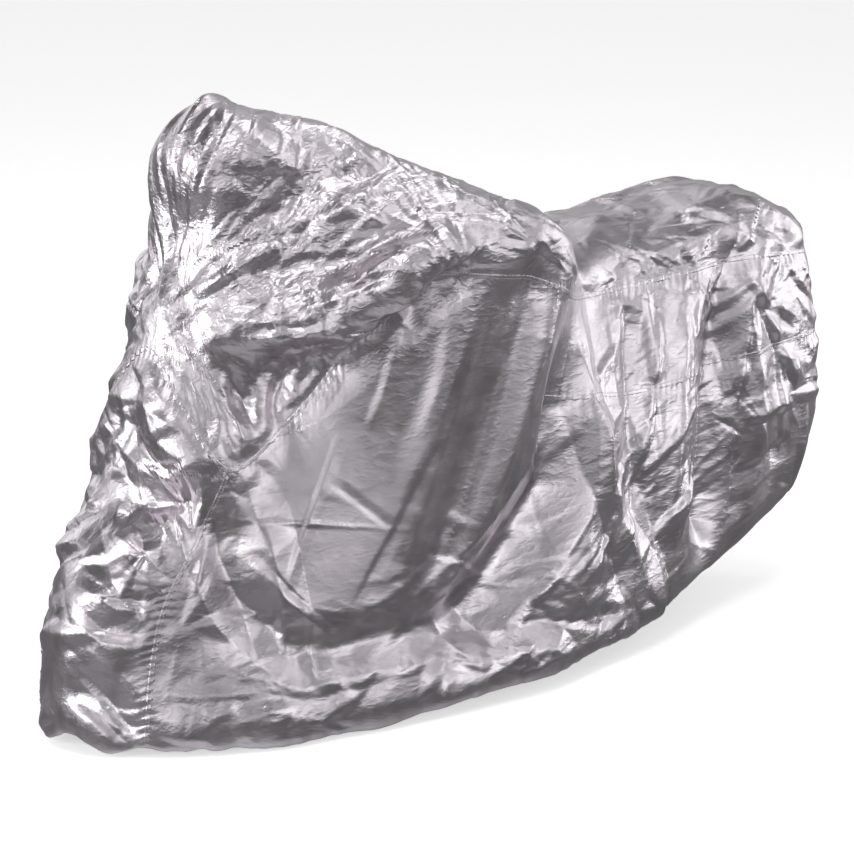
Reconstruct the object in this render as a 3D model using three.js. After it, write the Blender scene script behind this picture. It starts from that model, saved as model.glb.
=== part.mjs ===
// A fitted motorcycle cover of thin silver cloth, shaped as it hangs over a machine.
// Millimetres, +Z up. The front points to -X and the side with the stand is -Y.
// Heights in the tables are above the ground; the finished cover is moved so that
// its origin lies under the middle of the top panel, where the machine carries it.

import * as THREE from 'three';

// Driving sizes
const CLOTH_THICKNESS = 2;
const SEAM_GAP = 0.5;
const CARRIED_HEIGHT = 885;
const HEM_TURN_IN = 32;
const HEM_TURN_UP = 12;
const HEM_CENTRE_FRONT = -700;
const HEM_CENTRE_REAR = 800;

// Finish of the cloth
const CLOTH_COLOUR = 0xb4aeb4;
const CLOTH_ROUGHNESS = 0.32;
const CLOTH_METALNESS = 0.9;

// Levels down a section, and the number of rows of cloth from each one to the next
const LEVELS = [
  { name: 'ridge', rows: 3 },
  { name: 'crest', rows: 4 },
  { name: 'brow', rows: 4 },
  { name: 'seam', rows: 5 },
  { name: 'waist', rows: 5 },
  { name: 'belly', rows: 4 },
  { name: 'hem', rows: 2 },
  { name: 'turn', rows: 0 },
];
const SEAM_LEVEL = 3;

// Half sections round the cover from the front centre to the tail centre.
// Each level is [along, half width, height]; columns is the cloth's count to the next section.
const SECTIONS = [
  { at: 'front centre', columns: 3, ridge: [-632, 0, 1196], crest: [-694, 0, 1112], brow: [-682, 0, 925],
    seam: [-772, 0, 745], waist: [-800, 0, 545], belly: [-988, 0, 268], hem: [-985, 0, 40] },
  { at: 'front quarter', columns: 3, ridge: [-614, 0, 1206], crest: [-672, 74, 1108], brow: [-692, 52, 850],
    seam: [-775, 80, 672], waist: [-806, 82, 500], belly: [-952, 80, 265], hem: [-965, 80, 14] },
  { at: 'front seam', columns: 4, ridge: [-582, 0, 1204], crest: [-594, 106, 1125], brow: [-690, 98, 800],
    seam: [-730, 170, 531], waist: [-793, 160, 412], belly: [-884, 146, 266], hem: [-918, 140, 24] },
  { at: 'wheel', columns: 4, ridge: [-490, 0, 1160], crest: [-462, 110, 1146], brow: [-592, 172, 795],
    seam: [-580, 184, 600], waist: [-645, 222, 413], belly: [-705, 240, 214], hem: [-752, 252, 26] },
  { at: 'fairing', columns: 4, ridge: [-345, 0, 1078], crest: [-325, 190, 1080], brow: [-505, 262, 808],
    seam: [-480, 242, 717], waist: [-505, 272, 455], belly: [-536, 300, 228], hem: [-518, 308, 26] },
  { at: 'before bar', columns: 4, ridge: [-200, 0, 1002], crest: [-190, 274, 1014], brow: [-370, 330, 902],
    seam: [-358, 310, 850], waist: [-336, 320, 530], belly: [-345, 330, 238], hem: [-342, 340, 40] },
  { at: 'bar end', columns: 3, ridge: [-60, 0, 928], crest: [-60, 350, 952], brow: [-85, 374, 905],
    seam: [-120, 366, 840], waist: [-150, 360, 549], belly: [-157, 342, 245], hem: [-136, 356, 50] },
  { at: 'behind bar', columns: 3, ridge: [70, 0, 880], crest: [45, 325, 905], brow: [40, 350, 850],
    seam: [40, 345, 785], waist: [15, 335, 520], belly: [-10, 332, 245], hem: [2, 350, 52] },
  { at: 'seat front', columns: 4, ridge: [250, 0, 832], crest: [240, 130, 820], brow: [235, 190, 782],
    seam: [228, 205, 734], waist: [140, 280, 500], belly: [110, 318, 244], hem: [116, 336, 52] },
  { at: 'seat', columns: 4, ridge: [460, 0, 836], crest: [455, 122, 828], brow: [453, 168, 795],
    seam: [450, 178, 730], waist: [340, 250, 470], belly: [314, 285, 233], hem: [304, 304, 56] },
  { at: 'seat rear', columns: 3, ridge: [665, 0, 850], crest: [655, 112, 844], brow: [650, 160, 806],
    seam: [642, 172, 734], waist: [550, 230, 477], belly: [518, 250, 255], hem: [515, 252, 97] },
  { at: 'tail corner', columns: 3, ridge: [850, 0, 866], crest: [820, 102, 860], brow: [800, 150, 815],
    seam: [775, 170, 738], waist: [735, 200, 488], belly: [738, 200, 296], hem: [740, 180, 128] },
  { at: 'tail quarter', columns: 3, ridge: [930, 0, 854], crest: [935, 84, 836], brow: [1018, 112, 785],
    seam: [1045, 120, 715], waist: [1075, 130, 500], belly: [1072, 130, 355], hem: [1030, 112, 225] },
  { at: 'tail centre', columns: 0, ridge: [965, 0, 846], crest: [1002, 0, 822], brow: [1070, 0, 775],
    seam: [1112, 0, 710], waist: [1102, 0, 500], belly: [1096, 0, 380], hem: [1068, 0, 265] },
];
const FRONT_SEAM_SECTION = 2;
const SEAT_SECTION = 7;
const SEAT_LEVEL = 3.79;

// Main folds. A path runs over [section, level] places; half_width and rise are in millimetres,
// a negative rise being a trough, and crisp goes from 0, a soft swell, to 1, a pressed crease.
const FOLDS = [
  { name: 'brow', side: 'left', half_width: 95, rise: 26, crisp: 0.6,
    path: [[0.5, 2.4], [2.7, 2.0], [3.9, 2.1], [4.7, 2.2], [5.1, 1.9]] },
  { name: 'under brow', side: 'left', half_width: 95, rise: -34, crisp: 0.3,
    path: [[1.8, 2.55], [3.0, 2.6], [4.0, 2.7]] },
  { name: 'arch', side: 'left', half_width: 60, rise: 22, crisp: 0.6,
    path: [[4.5, 2.8], [4.9, 2.1], [5.15, 1.9], [5.45, 2.7]] },
  { name: 'under arch', side: 'left', half_width: 60, rise: -30, crisp: 0.2,
    path: [[4.8, 3.2], [5.2, 3.05], [5.45, 2.95]] },
  { name: 'bar ridge', side: 'left', half_width: 85, rise: 18, crisp: 0.2,
    path: [[5.95, 1.25], [5.75, 2.45], [5.55, 3.15], [5.1, 3.9], [4.7, 4.7]] },
  { name: 'behind bar ridge', side: 'left', half_width: 70, rise: -14, crisp: 0.2,
    path: [[6.3, 2.15], [6.1, 3.2], [5.8, 3.8], [5.4, 4.4], [5.0, 4.9]] },
  { name: 'falling cloth', side: 'left', half_width: 85, rise: 15, crisp: 0.2,
    path: [[6.65, 3.1], [6.15, 4.0], [5.5, 4.8]] },
  { name: 'deep valley', side: 'left', half_width: 110, rise: -54, crisp: 0.5,
    path: [[7.2, 3.3], [7.15, 4.4], [5.95, 5.0], [5.25, 5.35]] },
  { name: 'bright fold', side: 'left', half_width: 150, rise: 34, crisp: 0.5,
    path: [[8.2, 3.6], [8.15, 4.4], [7.75, 5.0], [6.9, 5.45]] },
  { name: 'seat front crease', side: 'left', half_width: 65, rise: 20, crisp: 1.0,
    path: [[7.8, 3.05], [8.0, 3.85], [8.35, 4.5], [9.2, 5.6]] },
  { name: 'seat crease', side: 'left', half_width: 60, rise: -18, crisp: 0.8,
    path: [[8.75, 3.15], [9.0, 4.0], [9.0, 4.8]] },
  { name: 'seat rear swell', side: 'left', half_width: 85, rise: 20, crisp: 0.6,
    path: [[9.7, 3.2], [9.6, 4.2], [9.7, 5.3]] },
  { name: 'tail trough', side: 'left', half_width: 80, rise: -42, crisp: 0.5,
    path: [[10.6, 3.05], [10.5, 4.1], [10.45, 5.0], [10.3, 5.5]] },
  { name: 'tail corner ridge', side: 'left', half_width: 80, rise: 22, crisp: 0.8,
    path: [[11.6, 1.3], [11.05, 3.4], [11.2, 4.5], [11.1, 5.6]] },
  { name: 'wheel trough', side: 'left', half_width: 75, rise: -34, crisp: 0.7,
    path: [[1.95, 3.5], [2.45, 4.25], [2.75, 4.65], [3.4, 5.15]] },
  { name: 'wheel ridge', side: 'left', half_width: 60, rise: 20, crisp: 0.9,
    path: [[2.75, 3.85], [3.1, 4.65], [3.3, 5.2]] },
  { name: 'above hem', side: 'left', half_width: 65, rise: -15, crisp: 0.6,
    path: [[2.85, 5.0], [3.85, 5.2], [5.1, 5.2], [6.6, 5.3]] },
  { name: 'hem swell', side: 'left', half_width: 100, rise: 18, crisp: 0.4,
    path: [[2.0, 5.65], [3.4, 5.75], [5.3, 5.8], [8.3, 5.75]] },
  { name: 'front cross crease', side: 'left', half_width: 65, rise: -22, crisp: 0.7,
    path: [[0.0, 4.35], [0.85, 4.2], [1.8, 3.6]] },
  { name: 'front facet', side: 'left', half_width: 65, rise: 20, crisp: 0.9,
    path: [[0.3, 3.3], [0.85, 3.6], [1.7, 3.3]] },
  { name: 'front low wrinkle', side: 'left', half_width: 60, rise: 17, crisp: 0.9,
    path: [[0.0, 4.95], [0.85, 4.8], [1.3, 4.5]] },
  { name: 'front hem crease', side: 'left', half_width: 60, rise: -16, crisp: 0.6,
    path: [[0.0, 5.5], [1.0, 5.5], [1.85, 5.85]] },
  { name: 'screen fold', side: 'left', half_width: 70, rise: 15, crisp: 0.9,
    path: [[1.3, 0.5], [2.9, 1.4], [4.2, 1.55]] },
  { name: 'screen hollow', side: 'left', half_width: 65, rise: -14, crisp: 0.6,
    path: [[0.6, 1.6], [2.4, 1.5], [3.5, 1.25]] },
  { name: 'seat top hollow', side: 'left', half_width: 75, rise: -16, crisp: 0.6,
    path: [[10.2, 0.3], [9.4, 1.0], [8.5, 2.6]] },
  { name: 'seat top swell', side: 'left', half_width: 75, rise: 13, crisp: 0.8,
    path: [[9.2, 0.2], [8.5, 1.05], [8.0, 2.5]] },
  { name: 'far brow', side: 'right', half_width: 95, rise: 22, crisp: 0.6,
    path: [[0.9, 2.3], [2.6, 2.05], [3.8, 2.1], [4.9, 2.1]] },
  { name: 'far under brow', side: 'right', half_width: 95, rise: -28, crisp: 0.3,
    path: [[2.0, 2.6], [3.1, 2.6], [4.1, 2.75]] },
  { name: 'far bar ridge', side: 'right', half_width: 85, rise: 24, crisp: 0.8,
    path: [[6.0, 1.3], [5.8, 2.5], [5.4, 3.4], [4.9, 4.6]] },
  { name: 'far bar hollow', side: 'right', half_width: 70, rise: -20, crisp: 0.4,
    path: [[6.3, 2.3], [6.0, 3.3], [5.5, 4.4]] },
  { name: 'far valley', side: 'right', half_width: 110, rise: -48, crisp: 0.5,
    path: [[7.3, 3.3], [7.0, 4.3], [6.2, 5.0], [5.6, 5.3]] },
  { name: 'far swell', side: 'right', half_width: 100, rise: 28, crisp: 0.6,
    path: [[8.3, 3.5], [8.0, 4.4], [6.8, 5.25]] },
  { name: 'far crease', side: 'right', half_width: 65, rise: -18, crisp: 0.8,
    path: [[9.1, 3.2], [9.2, 4.2], [9.4, 5.2]] },
  { name: 'far seat swell', side: 'right', half_width: 85, rise: 18, crisp: 0.6,
    path: [[9.8, 3.2], [9.8, 4.3], [9.7, 5.3]] },
  { name: 'far tail trough', side: 'right', half_width: 80, rise: -34, crisp: 0.5,
    path: [[10.4, 3.1], [10.3, 4.2], [10.3, 5.4]] },
  { name: 'far tail ridge', side: 'right', half_width: 80, rise: 20, crisp: 0.8,
    path: [[11.5, 1.4], [11.2, 3.4], [11.3, 5.4]] },
  { name: 'far wheel trough', side: 'right', half_width: 75, rise: -22, crisp: 0.5,
    path: [[2.2, 3.7], [2.7, 4.5], [3.6, 5.1]] },
  { name: 'far wheel ridge', side: 'right', half_width: 70, rise: 16, crisp: 0.8,
    path: [[3.0, 3.8], [3.5, 4.6], [4.4, 5.2]] },
  { name: 'far hem swell', side: 'right', half_width: 80, rise: 14, crisp: 0.4,
    path: [[2.2, 5.55], [4.4, 5.65], [8.0, 5.6]] },
];

const SIDES = [
  { name: 'left', sign: -1 },
  { name: 'right', sign: 1 },
];

// Point where the hem ends once it is turned under and drawn in
function turnedHem(hem) {
  const inward = new THREE.Vector2(
    THREE.MathUtils.clamp(hem.x, HEM_CENTRE_FRONT, HEM_CENTRE_REAR) - hem.x,
    -hem.y,
  );
  inward.setLength(HEM_TURN_IN);
  return new THREE.Vector3(hem.x + inward.x, hem.y + inward.y, hem.z + HEM_TURN_UP);
}

// Smooth lines round the cover, one for each level
function levelLines() {
  const last = SECTIONS.length - 1;
  return LEVELS.map((level) => {
    const place = (row, sign) => {
      const source = level.name === 'turn' ? 'hem' : level.name;
      const [along, half, height] = row[source];
      const point = new THREE.Vector3(along, sign * half, height);
      return level.name === 'turn' ? turnedHem(point) : point;
    };
    const left = SECTIONS.map((row) => place(row, -1));
    if (level.name === 'ridge') {
      const open = new THREE.CatmullRomCurve3(left, false, 'centripetal');
      return (section) => open.getPoint(section / last);
    }
    const right = SECTIONS.slice(1, last).reverse().map((row) => place(row, 1));
    const loop = new THREE.CatmullRomCurve3([...left, ...right], true, 'centripetal');
    return (section) => loop.getPoint(section / (2 * last));
  });
}

const LINES = levelLines();

// One section of the cover as a curve from the ridge down to the turned hem
function sectionCurve(section, sign) {
  const points = LINES.map((line) => {
    const point = line(section);
    point.y *= -sign;
    return point;
  });
  return new THREE.CatmullRomCurve3(points, false, 'centripetal');
}

// Place on the smooth cover for a section number, a level number and a side
function smoothPoint(section, level, sign) {
  return sectionCurve(section, sign).getPoint(level / (LEVELS.length - 1));
}

// Even steps between the numbered stops of a table
function steps(counts) {
  const places = [];
  counts.forEach((count, stop) => {
    for (let k = 0; k < count; k += 1) {
      places.push(stop + k / count);
    }
  });
  places.push(counts.length - 1);
  return places;
}

const SECTION_STEPS = steps(SECTIONS.map((row) => row.columns));
const LEVEL_STEPS = steps(LEVELS.map((row) => row.rows));

// The whole cover as one grid of points, shared along the ridge and the two centre lines
function coverGrid() {
  const points = [];
  const index = new Map();
  const lastColumn = SECTION_STEPS.length - 1;
  const vertexAt = (side, column, row) => {
    const shared = row === 0 || column === 0 || column === lastColumn;
    return index.get(`${shared ? 'left' : side}:${column}:${row}`);
  };
  SIDES.forEach((side) => {
    SECTION_STEPS.forEach((section, column) => {
      const curve = sectionCurve(section, side.sign);
      LEVEL_STEPS.forEach((level, row) => {
        if (vertexAt(side.name, column, row) === undefined) {
          index.set(`${side.name}:${column}:${row}`, points.length);
          points.push(curve.getPoint(level / (LEVELS.length - 1)));
        }
      });
    });
  });
  return { points, vertexAt };
}

// Two triangles for each cell of the grid, facing out, cut along the shorter diagonal
function cellTriangles(grid, side, column, row) {
  const a = grid.vertexAt(side.name, column, row);
  const b = grid.vertexAt(side.name, column + 1, row);
  const c = grid.vertexAt(side.name, column + 1, row + 1);
  const d = grid.vertexAt(side.name, column, row + 1);
  const p = grid.points;
  const shortAC = p[a].distanceTo(p[c]) <= p[b].distanceTo(p[d]);
  const triangles = shortAC ? [[a, c, b], [a, d, c]] : [[a, d, b], [b, d, c]];
  const facing = side.sign < 0 ? triangles : triangles.map(([i, j, k]) => [i, k, j]);
  return facing.filter(([i, j, k]) => i !== j && j !== k && k !== i);
}

// Surface normals of a grid, shared by the panels that meet at a seam
function gridNormals(grid) {
  const geometry = new THREE.BufferGeometry().setFromPoints(grid.points);
  const triangles = [];
  SIDES.forEach((side) => {
    for (let column = 0; column < SECTION_STEPS.length - 1; column += 1) {
      for (let row = 0; row < LEVEL_STEPS.length - 1; row += 1) {
        triangles.push(...cellTriangles(grid, side, column, row));
      }
    }
  });
  geometry.setIndex(triangles.flat());
  geometry.computeVertexNormals();
  const normal = geometry.getAttribute('normal');
  return grid.points.map((_, k) => new THREE.Vector3().fromBufferAttribute(normal, k));
}

// Height of one fold at a point: soft across its path and fading out at both ends
function foldRise(fold, path, point) {
  let rise = 0;
  const total = path.length - 1;
  for (let k = 0; k < total; k += 1) {
    const line = new THREE.Line3(path[k], path[k + 1]);
    const along = line.closestPointToPointParameter(point, true);
    const away = line.at(along, new THREE.Vector3()).distanceTo(point) / fold.half_width;
    if (away < 1) {
      const run = (k + along) / total;
      const fade = Math.min(1, 4 * Math.min(run + 0.08, 1.08 - run));
      const here = fade * (1 - away) ** 2 * (1 + 2 * away * (1 - fold.crisp));
      rise = Math.max(rise, here);
    }
  }
  return rise * fold.rise;
}

// The grid with the main folds pressed into it
function foldedGrid() {
  const grid = coverGrid();
  const normals = gridNormals(grid);
  const paths = FOLDS.map((fold) => {
    const sign = fold.side === 'left' ? -1 : 1;
    return fold.path.map(([section, level]) => smoothPoint(section, level, sign));
  });
  const points = grid.points.map((point, k) => {
    const rise = FOLDS.reduce((sum, fold, n) => sum + foldRise(fold, paths[n], point), 0);
    return point.clone().addScaledVector(normals[k], rise);
  });
  return { points, vertexAt: grid.vertexAt };
}

// Closed thin solid of the cells that one panel is cut from, drawn back from its seams
function panelGeometry(grid, normals, panel) {
  const triangles = [];
  SIDES.filter((side) => panel.sides.includes(side.name)).forEach((side) => {
    for (let column = 0; column < SECTION_STEPS.length - 1; column += 1) {
      for (let row = 0; row < LEVEL_STEPS.length - 1; row += 1) {
        if (panel.holds(SECTION_STEPS[column], LEVEL_STEPS[row])) {
          triangles.push(...cellTriangles(grid, side, column, row));
        }
      }
    }
  });
  const edges = new Map();
  triangles.forEach(([i, j, k]) => {
    [[i, j], [j, k], [k, i]].forEach(([from, to]) => {
      if (!edges.delete(`${to}:${from}`)) {
        edges.set(`${from}:${to}`, [from, to]);
      }
    });
  });
  const rim = [...edges.values()];
  const onRim = new Set(rim.flat());
  const used = [...new Set(triangles.flat())];
  const order = new Map(used.map((vertex, k) => [vertex, k]));

  // Each rim point moves into its own panel, at right angles to the seam
  const inset = new Map([...onRim].map((vertex) => [vertex, new THREE.Vector3()]));
  rim.forEach(([from, to]) => {
    const run = grid.points[to].clone().sub(grid.points[from]).normalize();
    [from, to].forEach((vertex) => {
      inset.get(vertex).add(normals[vertex].clone().cross(run).normalize());
    });
  });
  const outer = used.map((vertex) => {
    const point = grid.points[vertex].clone();
    if (onRim.has(vertex)) {
      const move = inset.get(vertex).normalize();
      point.addScaledVector(move, SEAM_GAP / 2);
    }
    return point;
  });
  const inner = outer.map((point, k) => point.clone().addScaledVector(normals[used[k]], -CLOTH_THICKNESS));

  const count = used.length;
  const faces = [];
  triangles.forEach((corners) => {
    const [i, j, k] = corners.map((vertex) => order.get(vertex));
    faces.push(i, j, k);
    faces.push(count + i, count + k, count + j);
  });
  rim.forEach(([from, to]) => {
    const i = order.get(from);
    const j = order.get(to);
    faces.push(i, count + i, j);
    faces.push(j, count + i, count + j);
  });
  const geometry = new THREE.BufferGeometry().setFromPoints([...outer, ...inner]);
  geometry.setIndex(faces);
  geometry.translate(0, 0, -CARRIED_HEIGHT);
  geometry.computeVertexNormals();
  return geometry;
}

// Panels that the cover is sewn from: the top one ends at the long seam round the cover,
// the front one at the two front seams, and a seam under the seat parts each side in two
const isTop = (section, level) => level < SEAM_LEVEL;
const isFront = (section, level) => !isTop(section, level) && section < FRONT_SEAM_SECTION;
const isSeat = (section, level) => !isTop(section, level) && section >= SEAT_SECTION && level < SEAT_LEVEL;
const isSide = (section, level) => ![isTop, isFront, isSeat].some((test) => test(section, level));
const PANELS = [
  { name: 'top_panel', sides: ['left', 'right'], holds: isTop },
  { name: 'front_panel', sides: ['left', 'right'], holds: isFront },
  { name: 'left_seat_panel', sides: ['left'], holds: isSeat },
  { name: 'right_seat_panel', sides: ['right'], holds: isSeat },
  { name: 'left_side_panel', sides: ['left'], holds: isSide },
  { name: 'right_side_panel', sides: ['right'], holds: isSide },
];

const cover = new THREE.Group();
const grid = foldedGrid();
const normals = gridNormals(grid);
PANELS.forEach((panel) => {
  const material = new THREE.MeshStandardMaterial({
    color: CLOTH_COLOUR,
    roughness: CLOTH_ROUGHNESS,
    metalness: CLOTH_METALNESS,
    side: THREE.DoubleSide,
  });
  const mesh = new THREE.Mesh(panelGeometry(grid, normals, panel), material);
  mesh.name = panel.name;
  cover.add(mesh);
});

export default cover;
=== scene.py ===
"""Dresses the motorcycle cover: six sewn panels of thin silver cloth, their folds, seams and stitches.

Table sizes are millimetres above the ground, as the cover hangs over a machine. The scene is in metres.
"""

import logging
import math
from dataclasses import dataclass, field, replace
from enum import Enum
from functools import partial

import bpy
import numpy as np
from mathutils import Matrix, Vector

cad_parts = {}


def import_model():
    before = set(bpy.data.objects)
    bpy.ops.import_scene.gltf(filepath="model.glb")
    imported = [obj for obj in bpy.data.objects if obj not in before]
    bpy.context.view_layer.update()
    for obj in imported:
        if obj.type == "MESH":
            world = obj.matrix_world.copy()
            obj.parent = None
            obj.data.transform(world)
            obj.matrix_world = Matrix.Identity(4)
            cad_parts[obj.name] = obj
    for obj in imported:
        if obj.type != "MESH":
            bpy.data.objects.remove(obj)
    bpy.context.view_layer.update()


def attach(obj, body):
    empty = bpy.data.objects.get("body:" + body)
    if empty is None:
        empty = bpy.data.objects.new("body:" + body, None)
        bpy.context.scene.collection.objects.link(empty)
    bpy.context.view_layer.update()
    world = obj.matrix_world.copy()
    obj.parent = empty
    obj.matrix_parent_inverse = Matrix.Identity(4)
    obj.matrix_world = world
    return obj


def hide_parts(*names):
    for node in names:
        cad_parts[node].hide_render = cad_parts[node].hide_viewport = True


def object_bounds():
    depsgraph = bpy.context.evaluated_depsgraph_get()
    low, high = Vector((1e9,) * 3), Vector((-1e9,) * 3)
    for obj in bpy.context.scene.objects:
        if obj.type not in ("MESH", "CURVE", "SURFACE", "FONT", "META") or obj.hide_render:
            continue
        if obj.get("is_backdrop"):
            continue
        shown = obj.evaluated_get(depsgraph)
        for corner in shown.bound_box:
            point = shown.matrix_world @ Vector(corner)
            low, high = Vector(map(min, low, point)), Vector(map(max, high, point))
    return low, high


log = logging.getLogger("motorcycle_cover")

MM = 0.001
CRUSH = "crush"
CLOTH_UV = "cloth"
SAME_PLACE = 1e-4
KNOT_POWER = 0.25
NUDGE = 1e-6
NO_LENGTH = 1e-12
OUT_OF_REACH = 1e3

# How many times as wide as its right flank the left flank of a fold is
EVEN = 1.0
WIDE_LEFT = 2.8
WIDE_RIGHT = 0.36

Place = tuple[float, float, float]
Spot = tuple[float, float]


class Side(Enum):
    """The two sides of the cover, with the sign of the width on each."""

    LEFT = -1
    RIGHT = 1

    def mirror(self) -> np.ndarray:
        """Gives the factors that carry a place of the left half to this side."""
        return np.array([1.0, -float(self.value), 1.0])

    def other(self) -> "Side":
        """Gives the opposite side."""
        return Side(-self.value)


class Body(Enum):
    """Bodies that the pieces ride on."""

    COVER = "root"


class Slot(Enum):
    """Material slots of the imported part."""

    SILVER = "silver_cloth"


@dataclass(frozen=True)
class Section:
    """Half a section of the cover, each level as along, half width and height in millimetres."""

    at: str
    ridge: Place
    crest: Place
    brow: Place
    seam: Place
    waist: Place
    belly: Place
    hem: Place

    def levels(self) -> list[Place]:
        """Gives the levels from the ridge down to the hem."""
        return [self.ridge, self.crest, self.brow, self.seam, self.waist, self.belly, self.hem]


@dataclass(frozen=True)
class Fold:
    """A ridge or trough along a path of section and level numbers, sizes in millimetres.

    The main folds, which the CAD has too, are even. The creases lean to one side.
    """

    name: str
    side: Side
    half_width: float
    rise: float
    crisp: float
    path: tuple[Spot, ...]
    lean: float = EVEN
    peak: float = 1.05
    edge_round: float = 0.0025
    fade_rate: float = 4.0
    main_end: float = 0.08

    def is_main(self) -> bool:
        """Tells a main fold from a crease."""
        return self.lean == EVEN

    def across(self, shift: Spot, share: float) -> "Fold":
        """Gives the like fold on the other side, moved a little and made weaker.

        Args:
            shift: Section and level numbers to move the path by.
            share: Part of the rise that is kept.

        Returns:
            The fold of the other side.
        """
        path = tuple((min(LAST_SECTION, at + shift[0]), level + shift[1]) for at, level in self.path)
        name, side, rise = "far " + self.name, self.side.other(), self.rise * share
        return replace(self, name=name, side=side, rise=rise, path=path)

    def height(self, path: np.ndarray, points: np.ndarray, out: np.ndarray) -> np.ndarray:
        """Gives the fold's height, with flat or soft flanks, fading out at both ends.

        Args:
            path: Its places on the smooth form.
            points: Places to read it at.
            out: Outward directions there.

        Returns:
            The height at each point, in millimetres.
        """
        best = np.zeros(len(points))
        pieces = len(path) - 1
        end = self.main_end if self.is_main() else 0.0
        for k in range(pieces):
            step = path[k + 1] - path[k]
            along = np.clip((points - path[k]) @ step / (step @ step), 0.0, 1.0)
            off = points - path[k] - along[:, None] * step
            leftward = np.einsum("ij,ij->i", off, np.cross(out, step)) > 0
            away = np.linalg.norm(off, axis=1) / (self.half_width * np.where(leftward, self.lean, 1.0))
            run = (k + along) / pieces
            fade = np.minimum(1.0, self.fade_rate * np.minimum(run + end, 1 + end - run))
            soft = (1 - away) ** 2 * (1 + 2 * away)
            flat = self.peak - np.sqrt(away ** 2 + self.edge_round)
            here = fade * (soft + (flat - soft) * self.crisp)
            best = np.maximum(best, np.where(away < 1, here, 0.0))
        return best * self.rise


def left(name: str, half_width: float, rise: float, crisp: float, *path: Spot) -> Fold:
    """Makes a main fold of the left side."""
    return Fold(name, Side.LEFT, half_width, rise, crisp, path)


def right(name: str, half_width: float, rise: float, crisp: float, *path: Spot) -> Fold:
    """Makes a main fold of the right side."""
    return Fold(name, Side.RIGHT, half_width, rise, crisp, path)


def crease(name: str, half_width: float, rise: float, lean: float, *path: Spot, crisp: float = 1.0) -> Fold:
    """Makes a crease of the left side."""
    return Fold(name, Side.LEFT, half_width, rise, crisp, path, lean)


@dataclass(frozen=True)
class Zone:
    """A round part of the cover in which a layer of crumples has its own weight."""

    spot: Spot
    reach: float
    weight: float
    steepness: float = 1.35

    def share(self, away: np.ndarray) -> np.ndarray:
        """Gives the zone's share at some distances from its middle."""
        return softly(self.steepness * (1 - away / self.reach))


@dataclass(frozen=True)
class Rucks:
    """Many small straight rucks about one place: a steep narrow flank, a sharp edge and a wide flat flank.

    They run along a direction, or straight out from a focus, and stray from it by an angle in radians.
    """

    name: str
    spot: Spot
    reach: float
    count: int
    length: Spot
    width: Spot
    slope: float
    lean: Spot
    stray: float
    along: Place = (1.0, 0.0, 0.0)
    focus: Spot | None = None
    lowest: float = 9.0
    strength: Spot = (0.5, 1.2)


@dataclass(frozen=True)
class Ruck:
    """One small ruck: where it lies, which way it runs, and its sizes in millimetres."""

    spot: Spot
    middle: np.ndarray
    way: np.ndarray
    side: np.ndarray
    half_length: float
    width: float
    lean: float
    height: float
    lowest: float
    peak: float = 1.03
    edge_round: float = 0.003
    foot: float = -0.3
    foot_round: float = 0.001
    spare: float = 1.1

    def reach(self) -> float:
        """Gives how far from its middle it can show."""
        return self.spare * max(self.half_length, self.width * self.lean)

    def rise(self, places: np.ndarray) -> np.ndarray:
        """Gives its height at some places: a long diamond with four flat flanks.

        Args:
            places: Places on the smooth form, the last axis their coordinates.

        Returns:
            The height at each place.
        """
        off = places - self.middle
        across = off @ self.side
        across = across / np.where(across > 0, self.width, self.width * self.lean)
        along = off @ self.way / self.half_length
        level = self.peak - np.sqrt(along ** 2 + self.edge_round) - np.sqrt(across ** 2 + self.edge_round)
        above = (level + np.sqrt(level * level + self.foot_round)) / 2
        return self.height * np.where(level > self.foot, above, 0.0)


@dataclass(frozen=True)
class Pleats:
    """Small pleats along a line: their height and pitch, and how both drift along it, in millimetres."""

    rise: float
    pitch: float
    drifts: tuple[Spot, ...]
    swell: Spot

    def height(self, along: np.ndarray) -> np.ndarray:
        """Gives their height along the line.

        Args:
            along: Distances along the line.

        Returns:
            The height at each distance.
        """
        wave = along / self.pitch + sum(part * np.sin(along / length) for part, length in self.drifts)
        tooth = 2 * np.abs(2 * (wave - np.floor(wave)) - 1) - 1
        part, length = self.swell
        return self.rise * tooth * (1 - part + part * np.sin(along / length))


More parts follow.
